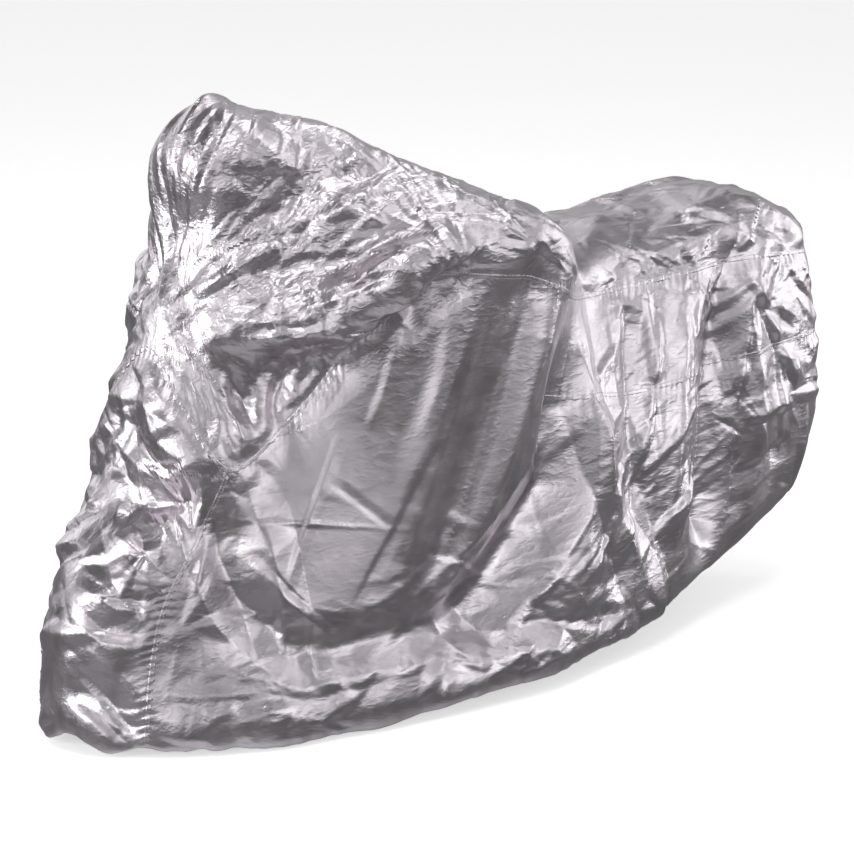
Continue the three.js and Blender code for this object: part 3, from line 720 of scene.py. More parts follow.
@dataclass
class CoverCloth:
    """The cloth of the whole cover: folds, creases, rucks and pleats, read wherever a panel needs them."""

    form: CoverForm = field(default_factory=CoverForm)
    carried_height: float = 885.0
    guide_columns: int = 14
    guide_rows: int = 20
    far_shift: Spot = (0.3, 0.1)
    far_share: float = 0.85
    seed: int = 7
    drawn_reach: float = 34.0
    drawn_share: float = 0.2
    near_ruck: float = 2.0
    window_reach: float = 1.8
    least_cell: float = 0.3
    window_spare: int = 3
    lowest_fade: float = 0.3
    puckers: Pleats = Pleats(1.8, 17.0, ((0.35, 61.0), (0.2, 23.0)), (0.4, 83.0))
    pucker_reach: float = 18.0
    gathers: Pleats = Pleats(1.3, 63.0, ((0.4, 97.0), (0.25, 37.0)), (0.45, 171.0))
    gathers_from: float = 5.55
    guide: Net = field(init=False)
    folds: list[tuple[Fold, np.ndarray]] = field(init=False)
    facets: list[Ruck] = field(default_factory=list)
    rucks: list[Ruck] = field(default_factory=list)
    run: np.ndarray = field(init=False)
    fall: np.ndarray = field(init=False)
    seam_away: np.ndarray = field(init=False)
    seam_run: np.ndarray = field(init=False)

    def build(self) -> None:
        """Lays the guide net, measures the seams and places every fold and ruck."""
        at = np.linspace(0, LAST_SECTION, LAST_SECTION * self.guide_columns + 1)
        levels = np.linspace(0, LEVEL_COUNT - 1, (LEVEL_COUNT - 1) * self.guide_rows + 1)
        self.guide = Net(self.form, (Side.LEFT, Side.RIGHT), at, levels)
        self.measure_seams()
        far = tuple(fold.across(self.far_shift, self.far_share) for fold in CREASES)
        self.folds = [(fold, np.array([self.form.spot(spot, fold.side) for spot in fold.path]))
                      for fold in MAIN_FOLDS + CREASES + far]
        self.scatter()

    def measure_seams(self) -> None:
        """Measures how far each place lies from the nearest seam, and how far along that seam."""
        net = self.guide.smooth[0]
        steps = [np.linalg.norm(np.diff(net, axis=axis), axis=2) for axis in range(2)]
        run = np.concatenate([np.zeros((1, net.shape[1])), np.cumsum(steps[0], axis=0)])
        fall = np.concatenate([np.zeros((net.shape[0], 1)), np.cumsum(steps[1], axis=1)], axis=1)
        at, levels = self.guide.at[:, None], self.guide.levels
        long_row, seat_row = (nearest(levels, level) for level in (SEAM_LEVEL, SEAT_SEAM_LEVEL))
        front = nearest(self.guide.at, FRONT_SEAM_SECTION)
        below = levels >= SEAM_LEVEL
        options = (
            (True, np.abs(fall - fall[:, [long_row]]), run[:, [long_row]]),
            (below, np.abs(run - run[front]), fall),
            (at >= SEAT_SECTION, np.abs(fall - fall[:, [seat_row]]), run[:, [seat_row]]),
            (below, run[-1] - run, fall),
        )
        self.run, self.fall = run, fall
        self.seam_away = np.full(run.shape, OUT_OF_REACH)
        self.seam_run = np.zeros(run.shape)
        for here, away, along in options:
            nearer = here & (away < self.seam_away)
            self.seam_run = np.where(nearer, along, self.seam_run)
            self.seam_away = np.where(nearer, away, self.seam_away)

    def weigh(self, everywhere: float, zones: tuple[Zone, ...]) -> np.ndarray:
        """Spreads the weights of some zones over one half of the guide net.

        Args:
            everywhere: Weight outside the zones.
            zones: The zones.

        Returns:
            The weight at each place.
        """
        places = self.guide.smooth[0]
        weight = np.full(places.shape[:2], everywhere)
        for zone in zones:
            away = np.linalg.norm(places - self.form.spot(zone.spot, Side.LEFT), axis=2)
            weight += (zone.weight - weight) * zone.share(away)
        return weight

    def scatter(self) -> None:
        """Places every facet and small ruck on both sides."""
        chance = np.random.default_rng(self.seed)
        guide = self.guide
        edges = [np.gradient(guide.smooth[0], axis=axis) for axis in range(2)]
        cells = np.linalg.norm(np.cross(*edges), axis=2)
        for table, kept, signs in ((FACETS, self.facets, (1.0,)), (RUCKS, self.rucks, (-1.0, 1.0))):
            for rucks in table:
                weight = self.weigh(0.0, (Zone(rucks.spot, rucks.reach, 1.0),)) * cells
                weight = weight * (guide.levels < rucks.lowest)
                picked = chance.choice(weight.size, rucks.count, p=(weight / weight.sum()).ravel())
                for column, row in zip(*np.unravel_index(picked, weight.shape)):
                    place = (int(chance.integers(2)), column, row)
                    kept.append(self.place_ruck(rucks, chance, place, signs))

    def place_ruck(self, rucks: Rucks, chance: np.random.Generator, place: tuple[int, int, int],
                   signs: tuple[float, ...]) -> Ruck:
        """Draws the sizes and direction of one ruck.

        Args:
            rucks: The kind of ruck.
            chance: Source of its sizes.
            place: Half, column and row of the guide net that its middle lies on.
            signs: Whether it may lie inward, outward or both.

        Returns:
            The ruck.
        """
        guide = self.guide
        half, column, row = place
        middle, normal = guide.smooth[place], guide.out[place]
        way = np.array(rucks.along) * guide.sides[half].mirror()
        if rucks.focus:
            way = middle - self.form.spot(rucks.focus, guide.sides[half])
        way = unit(way - normal * (way @ normal))
        side = np.cross(normal, way)
        turn = rucks.stray * chance.uniform(-1.0, 1.0)
        cos, sin = math.cos(turn), math.sin(turn)
        way, side = way * cos + side * sin, side * cos - way * sin
        width = chance.uniform(*rucks.width)
        flip = chance.choice((-1.0, 1.0))
        height = rucks.slope * width * chance.uniform(*rucks.strength) * chance.choice(signs)
        half_length = chance.uniform(*rucks.length) / 2
        lean = chance.uniform(*rucks.lean)
        spot = (guide.at[column], guide.levels[row])
        return Ruck(spot, middle, way, side * flip, half_length, width, lean, height, rucks.lowest)

    def drape(self, net: Net) -> None:
        """Moves a net out from the smooth form by everything that lies on it.

        Args:
            net: The net of one panel.
        """
        read = partial(net.spread, self.guide)
        folded = np.zeros(net.smooth.shape[:3])
        creased = self.ruck_rise(net) * (1 - read(self.weigh(0.0, CALM)))
        places, out = net.smooth.reshape(-1, 3), net.out.reshape(-1, 3)
        for fold, path in self.folds:
            reach = fold.half_width * max(1.0, fold.lean)
            low, high = path.min(axis=0) - reach, path.max(axis=0) + reach
            near = np.flatnonzero(np.all((places > low) & (places < high), axis=1))
            if len(near):
                rise = (folded if fold.is_main() else creased).reshape(-1)
                rise[near] += fold.height(path, places[near], out[near])
        away = read(self.seam_away)
        drawn = self.drawn_share + (1 - self.drawn_share) * softly(away / self.drawn_reach)
        puckers = self.puckers.height(read(self.seam_run)) * np.exp(-away / self.pucker_reach)
        at_hem = softly((net.levels - self.gathers_from) / (HEM_LEVEL - self.gathers_from))
        rise = folded + creased * drawn + puckers + self.gathers.height(read(self.run)) * at_hem
        if len(net.sides) == 2:
            for line in net.shared():
                rise[line] = rise[line].mean(axis=0)
        net.points = net.smooth + net.out * rise[..., None]
        net.crush = read(self.weigh(CRUSHED_EVERYWHERE, CRUSHED))
        net.flat = np.stack([read(self.run), read(self.fall)], axis=-1)

    def ruck_rise(self, net: Net) -> np.ndarray:
        """Adds up the facets and small rucks at the points of a net.

        Args:
            net: The net of one panel.

        Returns:
            Their height at each point.
        """
        rise = np.zeros(net.smooth.shape[:3])
        scales = (net.at, net.levels)
        sizes = [np.linalg.norm(np.gradient(net.smooth[0], axis=axis), axis=2) for axis in range(2)]
        for kind in (self.facets, self.rucks):
            high, low = np.zeros_like(rise), np.zeros_like(rise)
            for ruck in kind:
                cell = tuple(min(len(scale) - 1, int(np.searchsorted(scale, value)))
                             for scale, value in zip(scales, ruck.spot))
                away = np.linalg.norm(net.smooth[:, cell[0], cell[1]] - ruck.middle, axis=1).min()
                if away > self.near_ruck * ruck.reach():
                    continue
                window = [slice(None)]
                for middle, size in zip(cell, sizes):
                    cells = int(self.window_reach * ruck.reach() / (size[cell] + self.least_cell))
                    cells += self.window_spare
                    window.append(slice(max(0, middle - cells), middle + cells))
                window = tuple(window)
                room = ruck.lowest + self.lowest_fade - net.levels[window[2]]
                here = ruck.rise(net.smooth[window]) * np.clip(room / self.lowest_fade, 0.0, 1.0)
                if ruck.height > 0:
                    high[window] = np.maximum(high[window], here)
                else:
                    low[window] = np.minimum(low[window], here)
            rise += high + low
        return rise

    def in_scene(self, points: np.ndarray) -> np.ndarray:
        """Moves millimetres above the ground into the part's frame in metres."""
        return (points - np.array([0.0, 0.0, self.carried_height])) * MM


@dataclass
class ShaderTree:
    """The shader nodes of one material or of the world."""

    tree: bpy.types.NodeTree

    def link(self, output: bpy.types.NodeSocket, socket: bpy.types.NodeSocket) -> None:
        """Links an output to an input."""
        self.tree.links.new(output, socket)

    def add(self, kind: str, inputs: dict[str | int, object] | None = None,
            **options: object) -> bpy.types.Node:
        """Adds a node.

        Args:
            kind: The kind of node.
            inputs: For each input, the constant to set on it or the output to link to it.
            options: Other settings of the node.

        Returns:
            The node.
        """
        node = self.tree.nodes.new(kind)
        for name, value in options.items():
            setattr(node, name, value)
        for name, value in (inputs or {}).items():
            if isinstance(value, bpy.types.NodeSocket):
                self.link(value, node.inputs[name])
            else:
                node.inputs[name].default_value = value
        return node

    def noise(self, scale: float, detail: float) -> bpy.types.NodeSocket:
        """Adds a cloudy noise read in the object's own place.

        Args:
            scale: Noise scale.
            detail: Noise detail.

        Returns:
            The noise, from 0 to 1.
        """
        place = self.add("ShaderNodeTexCoord").outputs["Object"]
        noise = self.add("ShaderNodeTexNoise", {"Scale": scale, "Detail": detail, "Vector": place})
        return noise.outputs["Fac"]

    def map_range(self, value: bpy.types.NodeSocket, source: Spot, target: Spot) -> bpy.types.NodeSocket:
        """Adds a node that carries one range of values to another.

        Args:
            value: The value to carry.
            source: The range that it comes from.
            target: The range that it goes to.

        Returns:
            The carried value.
        """
        node = self.add("ShaderNodeMapRange", {
            "Value": value, "From Min": source[0], "From Max": source[1],
            "To Min": target[0], "To Max": target[1]})
        return node.outputs["Result"]

    def ramp(self, value: bpy.types.NodeSocket, stops: list[tuple[float, Place]]) -> bpy.types.NodeSocket:
        """Adds a ramp of colours.

        Args:
            value: The value to colour, from 0 to 1.
            stops: Places on the ramp, rising, and the colour at each.

        Returns:
            The colour.
        """
        node = self.add("ShaderNodeValToRGB", {"Fac": value})
        elements = node.color_ramp.elements
        elements.remove(elements[1])
        for number, (place, colour) in enumerate(stops):
            element = elements.new(place) if number else elements[0]
            element.position = place
            element.color = (*colour, 1.0)
        return node.outputs["Color"]


@dataclass(frozen=True)
class Finish:
    """A finish whose tone drifts between two colours."""

    name: str
    colour: Place
    dark: Place
    cloud_scale: float
    cloud_detail: float
    dark_below: float = 0.0
    bright_above: float = 1.0

    def start(self) -> tuple[bpy.types.Material, ShaderTree, bpy.types.Node]:
        """Makes the node material with its drifting tone.

        Returns:
            The material, its nodes and its surface shader.
        """
        material = bpy.data.materials.new(self.name)
        material.use_nodes = True
        tree = ShaderTree(material.node_tree)
        shader = material.node_tree.nodes["Principled BSDF"]
        stops = [(self.dark_below, self.dark), (self.bright_above, self.colour)]
        tone = tree.ramp(tree.noise(self.cloud_scale, self.cloud_detail), stops)
        tree.link(tone, shader.inputs["Base Color"])
        return material, tree, shader


@dataclass(frozen=True)
class Crinkle:
    """One size of small crinkles: how many to the metre, their slope, and how they lie."""

    scale: float
    slope: float
    turn: Place
    stretch: float
    detail: float = 2.0
    roughness: float = 0.5
    offset: float = 0.9
    gain: float = 1.5
    strength: float = 1.0


@dataclass(frozen=True)
class SilverCloth(Finish):
    """Thin woven cloth with a bright silver coating on its outside."""

    name: str = "silver_coated_cloth"
    colour: Place = (0.66, 0.618, 0.66)
    dark: Place = (0.56, 0.518, 0.56)
    cloud_scale: float = 5.0
    cloud_detail: float = 4.0
    dark_below: float = 0.36
    bright_above: float = 0.64
    metallic: float = 1.0
    rub_scale: float = 23.0
    rub_detail: float = 5.0
    rub_range: Spot = (0.3, 0.7)
    roughness: Spot = (0.31, 0.43)
    weave_pitch: float = 0.0009
    wave_scale: float = 0.314
    weave_strength: float = 0.08
    weave_height: float = 0.00012
    crinkles: tuple[Crinkle, ...] = (
        Crinkle(14.0, 0.016, (0.0, 0.44, 0.0), 0.35),
        Crinkle(38.0, 0.028, (0.3, 0.9, 0.4), 0.4),
        Crinkle(105.0, 0.045, (0.0, 0.35, 0.6), 0.3),
    )

    def material(self) -> bpy.types.Material:
        """Makes the node material: tone, roughness, crinkles and weave.

        Returns:
            The material.
        """
        material, tree, shader = self.start()
        shader.inputs["Metallic"].default_value = self.metallic
        rub = tree.map_range(tree.noise(self.rub_scale, self.rub_detail), self.rub_range, self.roughness)
        tree.link(rub, shader.inputs["Roughness"])
        under = {}
        for layer in self.crinkles:
            under = {"Normal": self.crinkle(tree, layer, under)}
        tree.link(self.weave(tree, under), shader.inputs["Normal"])
        return material

    @staticmethod
    def crinkle(tree: ShaderTree, layer: Crinkle,
                under: dict[str, bpy.types.NodeSocket]) -> bpy.types.NodeSocket:
        """Adds one size of small flat-sided crinkles, higher where the cloth is crushed.

        Args:
            tree: Nodes of the material.
            layer: Size, slope and lie of the crinkles.
            under: The normal that they lie on, if any.

        Returns:
            The normal.
        """
        place = tree.add("ShaderNodeTexCoord").outputs["Object"]
        lie = tree.add("ShaderNodeMapping", {
            "Vector": place, "Rotation": layer.turn, "Scale": (layer.stretch, 1.0, 1.0)})
        ridges = tree.add("ShaderNodeTexNoise", {
            "Vector": lie.outputs["Vector"], "Scale": layer.scale, "Detail": layer.detail,
            "Roughness": layer.roughness, "Offset": layer.offset, "Gain": layer.gain,
        }, noise_type="RIDGED_MULTIFRACTAL", normalize=False)
        crush = tree.add("ShaderNodeAttribute", attribute_name=CRUSH)
        height = tree.add("ShaderNodeMath", {
            0: ridges.outputs["Fac"], 1: crush.outputs["Fac"]}, operation="MULTIPLY")
        bump = tree.add("ShaderNodeBump", {
            **under, "Strength": layer.strength, "Distance": layer.slope / layer.scale,
            "Height": height.outputs["Value"]})
        return bump.outputs["Normal"]

    def weave(self, tree: ShaderTree, under: dict[str, bpy.types.NodeSocket]) -> bpy.types.NodeSocket:
        """Adds the plain weave that shows through the coating.

        Args:
            tree: Nodes of the material.
            under: The normal that it lies on.

        Returns:
            The normal.
        """
        flat = tree.add("ShaderNodeUVMap", uv_map=CLOTH_UV).outputs["UV"]
        threads = {}
        for number, direction in enumerate(("X", "Y")):
            wave = tree.add("ShaderNodeTexWave", {
                "Vector": flat, "Scale": self.wave_scale / self.weave_pitch}, bands_direction=direction)
            threads[number] = wave.outputs["Fac"]
        cloth = tree.add("ShaderNodeMath", threads, operation="MAXIMUM")
        bump = tree.add("ShaderNodeBump", {
            **under, "Strength": self.weave_strength, "Distance": self.weave_height,
            "Height": cloth.outputs["Value"]})
        return bump.outputs["Normal"]


@dataclass(frozen=True)
class Thread(Finish):
    """Pale grey sewing thread."""

    name: str = "sewing_thread"
    colour: Place = (0.62, 0.60, 0.64)
    dark: Place = (0.50, 0.48, 0.52)
    cloud_scale: float = 900.0
    cloud_detail: float = 2.0
    roughness: float = 0.55

    def material(self) -> bpy.types.Material:
        """Makes the thread's node material.

        Returns:
            The material.
        """
        material, _, shader = self.start()
        shader.inputs["Roughness"].default_value = self.roughness
        return material


@dataclass(frozen=True)
class StudioFloor(Finish):
    """Pale matt floor with a faint unevenness."""

    name: str = "pale_floor"
    colour: Place = (0.88, 0.88, 0.88)
    dark: Place = (0.85, 0.85, 0.85)
    cloud_scale: float = 0.6
    cloud_detail: float = 3.0
    roughness: float = 0.85
    glow_colour: Place = (1.0, 1.0, 1.0)
    glow: float = 0.54

    def material(self) -> bpy.types.Material:
        """Makes the floor's node material.

        Returns:
            The material.
        """
        material, _, shader = self.start()
        shader.inputs["Roughness"].default_value = self.roughness
        shader.inputs["Emission Color"].default_value = (*self.glow_colour, 1.0)
        shader.inputs["Emission Strength"].default_value = self.glow
        return material


def add_object(name: str, points: np.ndarray, faces: np.ndarray,
               material: bpy.types.Material) -> bpy.types.Object:
    """Makes a smooth-shaded mesh object.

    Args:
        name: Name of the piece.
        points: Vertex places in metres.
        faces: Corner numbers, one row a face, all of one corner count.
        material: Its material.

    Returns:
        The object, linked into the scene.
    """
    mesh = bpy.data.meshes.new(name)
    count, corners = faces.shape
    mesh.vertices.add(len(points))
    mesh.vertices.foreach_set("co", np.ascontiguousarray(points, np.float32).ravel())
    mesh.loops.add(count * corners)
    mesh.loops.foreach_set("vertex_index", np.ascontiguousarray(faces, np.int32).ravel())
    mesh.polygons.add(count)
    mesh.polygons.foreach_set("loop_start", np.arange(0, count * corners, corners, dtype=np.int32))
    mesh.update(calc_edges=True)
    mesh.validate()
    mesh.materials.append(material)
    mesh.shade_smooth()
    piece = bpy.data.objects.new(name, mesh)
    bpy.context.scene.collection.objects.link(piece)
    return piece


def lay_cloth(mesh: bpy.types.Mesh, flat: np.ndarray, crush: np.ndarray) -> None:
    """Tells the material where each vertex lies on the flat cloth and how crushed the cloth is there.

    Args:
        mesh: The mesh.
        flat: Places on the flat cloth in millimetres, one a vertex.
        crush: How crushed the cloth is, one value a vertex.
    """
    corners = np.zeros(len(mesh.loops), np.int32)
    mesh.loops.foreach_get("vertex_index", corners)
    layer = mesh.uv_layers.new(name=CLOTH_UV)
    layer.data.foreach_set("uv", np.ascontiguousarray((flat * MM)[corners], np.float32).ravel())
    crushed = mesh.attributes.new(CRUSH, "FLOAT", "POINT")
    crushed.data.foreach_set("value", crush.astype(np.float32))


@dataclass
class Panel:
    """One sewn panel of the cover, as a closed thin sheet."""

    node: str
    sides: tuple[Side, ...]
    sections: Spot
    levels: Spot
    flat: Spot
    flat_area: float
    rests_on: tuple[str, ...]
    cut_sections: Spot | None = None
    cut_levels: Spot | None = None
    cell: Spot = (5.0, 5.0)
    rear_cell: float = 5.0
    usual_span: float = 0.7
    most_triangles: int = 190000
    sharp_angle: float = 40.0
    thickness: float = 1.2
    seam_gap: float = 0.5
    net: Net | None = None
    piece: bpy.types.Object | None = None

    def steps(self, cloth: CoverCloth, axis: int) -> np.ndarray:
        """Divides the panel's sections or levels evenly into an even number of cells.

        Args:
            cloth: The whole cover.
            axis: 0 for the sections, 1 for the levels.

        Returns:
            Section or level numbers, one a column or row.
        """
        scales, limits = (cloth.guide.at, cloth.guide.levels), (self.sections, self.levels)
        guide, other = scales[axis], scales[1 - axis]
        (first, last), (low, high) = limits[axis], limits[1 - axis]
        cut = (self.cut_sections, self.cut_levels)[axis] or ()
        stops = sorted({first, last, *cut, *range(math.ceil(first), math.floor(last) + 1)})
        spans = np.linalg.norm(np.diff(cloth.guide.smooth[0], axis=axis), axis=2)
        spans = np.compress((other >= low) & (other <= high), spans, axis=1 - axis)
        usual = np.concatenate([[0.0], np.cumsum(np.quantile(spans, self.usual_span, axis=1 - axis))])
        found = [np.array([first])]
        for start, end in zip(stops, stops[1:]):
            length = np.interp(end, guide, usual) - np.interp(start, guide, usual)
            cell = self.rear_cell if axis == 0 and start >= SEAT_SECTION else self.cell[axis]
            count = 2 * max(1, round(length / cell / 2))
            found.append(start + (end - start) * np.arange(1, count + 1) / count)
        return np.concatenate(found)

    def cells(self, step: int) -> tuple[np.ndarray, np.ndarray]:
        """Gives the corners of the panel's cells, facing out, and the points halfway between the corners.

        Args:
            step: How many of the net's cells one cell spans.

        Returns:
            Numbers of the corners and of the halfway points, four of each a cell.
        """
        net = self.net
        at, levels = net.at[:-1:step, None] + NUDGE, net.levels[None, :-1:step] + NUDGE
        mine = np.ones((at.size, levels.size), bool)
        if self.cut_sections and self.cut_levels:
            cut = (at >= self.cut_sections[0]) & (at < self.cut_sections[1])
            mine = ~(cut & (levels >= self.cut_levels[0]) & (levels < self.cut_levels[1]))
        corners, halfways = [], []
        for numbers, side in zip(net.numbers(), net.sides):
            mesh = numbers[::step, ::step]
            around = [mesh[:-1, :-1], mesh[:-1, 1:], mesh[1:, 1:], mesh[1:, :-1]]
            upright, level = numbers[::step, step // 2::step], numbers[step // 2::step, ::step]
            if step == 1:
                upright, level = mesh[:, :-1], mesh[:-1]
            between = [upright[:-1], level[:, 1:], upright[1:], level[:, :-1]]
            if side is Side.RIGHT:
                around, between = around[::-1], [between[k] for k in (2, 1, 0, 3)]
            corners.append(np.stack(around, axis=-1)[mine])
            halfways.append(np.stack(between, axis=-1)[mine])
        return np.concatenate(corners), np.concatenate(halfways)

    def build(self, cloth: CoverCloth, material: bpy.types.Material) -> bpy.types.Object:
        """Drapes the panel, draws it back from its seams and gives it its thickness.

        Args:
            cloth: The whole cover.
            material: The cloth's material.

        Returns:
            The panel's object.
        """
        self.net = Net(cloth.form, self.sides, self.steps(cloth, 0), self.steps(cloth, 1))
        cloth.drape(self.net)
        size = self.net.smooth[..., 0].size
        outer = self.net.points.reshape(-1, 3).copy()
        facing = self.net.facing(self.net.points).reshape(-1, 3)
        cells, _ = self.cells(1)
        coarse, halfway = self.cells(2)
        starts, ends = coarse.ravel(), np.roll(coarse, -1, axis=1).ravel()
        rim = ~np.isin(starts * size + ends, ends * size + starts)
        start, middle, end = starts[rim], halfway.ravel()[rim], ends[rim]
        inset = np.zeros_like(outer)
        for first, last in ((start, middle), (middle, end)):
            step = unit(outer[last] - outer[first])
            for place in (first, last):
                np.add.at(inset, place, unit(np.cross(facing[place], step)))
        outer += unit(inset) * np.any(inset, axis=1, keepdims=True) * self.seam_gap / 2
        walls = np.concatenate([np.stack(corners, axis=1) for corners in (
            (start, start + size, middle), (middle, start + size, end + size), (middle, end + size, end))])
        quads = np.concatenate([cells, coarse[:, ::-1] + size])
        faces = np.concatenate([quads[:, [0, 1, 2]], quads[:, [0, 2, 3]], walls])
        used, corners = np.unique(faces, return_inverse=True)
        points = cloth.in_scene(np.concatenate([outer, self.lining()]))[used]
        self.piece = add_object(self.node + "_cloth", points, corners.reshape(-1, 3), material)
        self.dress(used % size)
        self.thin_out(len(faces))
        return self.piece

    def thin_out(self, triangles: int) -> None:
        """Merges the triangles that lie flattest, so that the panel keeps its crisp edges with fewer of them.

        Args:
            triangles: How many triangles the panel has.
        """
        if triangles > self.most_triangles:
            thinner = self.piece.modifiers.new("thinner", "DECIMATE")
            thinner.ratio = self.most_triangles / triangles
            graph = bpy.context.evaluated_depsgraph_get()
            mesh = bpy.data.meshes.new_from_object(self.piece.evaluated_get(graph))
            self.piece.modifiers.clear()
            self.piece.data = mesh
        self.piece.data.set_sharp_from_angle(angle=math.radians(self.sharp_angle))

    def lining(self) -> np.ndarray:
        """Finds the inside of the cloth, clear of the deepest ruck about each point.

        Returns:
            Places of the inside.
        """
        net = self.net
        lift = np.einsum("...k,...k->...", net.points - net.smooth, net.out)
        lowest = lift
        for axis in (1, 2):
            size = lift.shape[axis]
            wider = np.pad(lowest, [(int(k == axis),) * 2 for k in range(3)], mode="edge")
            lowest = np.minimum.reduce([np.take(wider, range(k, k + size), axis) for k in range(3)])
        depth = self.thickness + lift - lowest
        return (net.points - net.out * depth[..., None]).reshape(-1, 3)

    def dress(self, used: np.ndarray) -> None:
        """Gives the panel its place on the flat cloth and its crushed parts.

        Args:
            used: Numbers of the net's points that the panel uses.
        """
        halves = len(self.sides)
        flat = np.concatenate([self.net.flat.reshape(-1, 2)] * halves)[used]
        crush = np.concatenate([self.net.crush.ravel()] * halves)[used]
        lay_cloth(self.piece.data, flat, crush)

    def line(self, *where: int | slice) -> tuple[np.ndarray, np.ndarray]:
        """Gives the places and outward directions along one line of the panel's net."""
        return self.net.points[where], self.net.facing(self.net.points)[where]

    def declare(self, trims: list[bpy.types.Object]) -> None:
        """Hangs the panel on the cover's body and hides the imported part that it replaces.

        Args:
            trims: Bands and stitches sewn on this panel; not used.
        """
        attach(self.piece, Body.COVER.value)
        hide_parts(self.node)


@dataclass
class Seam:
    """A lapped seam: a narrow raised band with two rows of stitches.

    Its profile is in shares of half width and height, a stitch's shape in shares of length and width.
    """

    name: str
    paths: list[tuple[np.ndarray, np.ndarray]]
    half_width: float = 6.5
    height: float = 0.4
    sunk: float = 1.0
    pitch: float = 4.0
    fewest_steps: int = 3
    crush: float = 0.3
    profile: tuple[Spot, ...] = ((-0.62, 0.7), (-0.4, 1.0), (0.0, 0.5), (0.4, 1.0), (0.62, 0.7))
    end_faces: tuple[tuple[int, ...], ...] = ((0, 1, 5, 6), (1, 2, 4, 5))
    stitch_pitch: float = 5.5
    stitch_length: float = 3.6
    stitch_width: float = 0.55
    stitch_offset: float = 2.7
    stitch_lift: float = 0.1
    stitch_shape: tuple[Place, ...] = (
        (-0.5, 0.0, -0.3), (0.5, 0.0, -0.3), (0.0, -1.0, 0.1), (0.0, 1.0, 0.1),
        (-0.28, 0.0, 0.8), (0.28, 0.0, 0.8))
    stitch_faces: tuple[tuple[int, int, int], ...] = (
        (0, 2, 4), (4, 2, 5), (5, 2, 1), (0, 4, 3), (4, 5, 3), (5, 1, 3), (0, 1, 2), (0, 3, 1))

    def trace(self, path: tuple[np.ndarray, np.ndarray],
              pitch: float) -> tuple[np.ndarray, np.ndarray, np.ndarray]:
        """Steps along a seam at an even pitch.

        Args:
            path: Places and outward directions along the seam.
            pitch: Step in millimetres.

        Returns:
            Places, outward directions and sideways directions.
        """
        along = np.concatenate([[0], np.cumsum(np.linalg.norm(np.diff(path[0], axis=0), axis=1))])
        steps = np.linspace(0, along[-1], max(self.fewest_steps, int(along[-1] / pitch)))
        place, out = (
            np.stack([np.interp(steps, along, part) for part in values.T], axis=1) for values in path)
        out = unit(out)
        sideways = unit(np.cross(out, unit(np.gradient(place, axis=0))))
        return place, out, sideways

    def build(self, cloth: CoverCloth, material: bpy.types.Material) -> bpy.types.Object:
        """Makes the raised bands of the seam.

        Args:
            cloth: The whole cover.
            material: The cloth's material.

        Returns:
            The bands as one object.
        """
        top = [(across, share * self.height) for across, share in self.profile]
        ring = np.array([(-1.0, -self.sunk), *top, (1.0, -self.sunk)])
        points, faces, start = [], [], 0
        for path in self.paths:
            place, out, sideways = self.trace(path, self.pitch)
            body = (place[:, None] + sideways[:, None] * ring[None, :, :1] * self.half_width
                    + out[:, None] * ring[None, :, 1:])
            points.append(body.reshape(-1, 3))
            net = start + np.arange(len(points[-1])).reshape(body.shape[:2])
            turned = np.roll(net, -1, axis=1)
            faces.append(np.stack([net[:-1], net[1:], turned[1:], turned[:-1]], axis=-1).reshape(-1, 4))
            for end, order in ((0, 1), (-1, -1)):
                faces += [net[[end]][:, corners[::order]] for corners in self.end_faces]
            start += net.size
        points = np.concatenate(points)
        piece = add_object(self.name + "_band", cloth.in_scene(points), np.concatenate(faces), material)
        lay_cloth(piece.data, points[:, [0, 2]], np.full(len(points), self.crush))
        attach(piece, Body.COVER.value)
        return piece

    def stitch(self, cloth: CoverCloth, material: bpy.types.Material) -> bpy.types.Object:
        """Makes the two rows of stitches of the seam.

        Args:
            cloth: The whole cover.
            material: The thread's material.

        Returns:
            The stitches as one object.
        """
        sizes = (self.stitch_length, self.stitch_width, self.stitch_width)
        shape, sides = np.array(self.stitch_shape) * sizes, np.array(self.stitch_faces)
        points, faces, start = [], [], 0
        for path in self.paths:
            place, out, sideways = self.trace(path, self.stitch_pitch)
            axes = np.stack([np.cross(sideways, out), sideways, out], axis=1)
            for offset in (-self.stitch_offset, self.stitch_offset):
                seat = place + sideways * offset + out * (self.height + self.stitch_lift)
                points.append((seat[:, None] + shape @ axes).reshape(-1, 3))
                numbers = start + len(shape) * np.arange(len(place))
                faces.append((numbers[:, None, None] + sides).reshape(-1, 3))
                start += len(points[-1])
        points = cloth.in_scene(np.concatenate(points))
        piece = add_object(self.name + "_stitches", points, np.concatenate(faces), material)
        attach(piece, Body.COVER.value)
        return piece


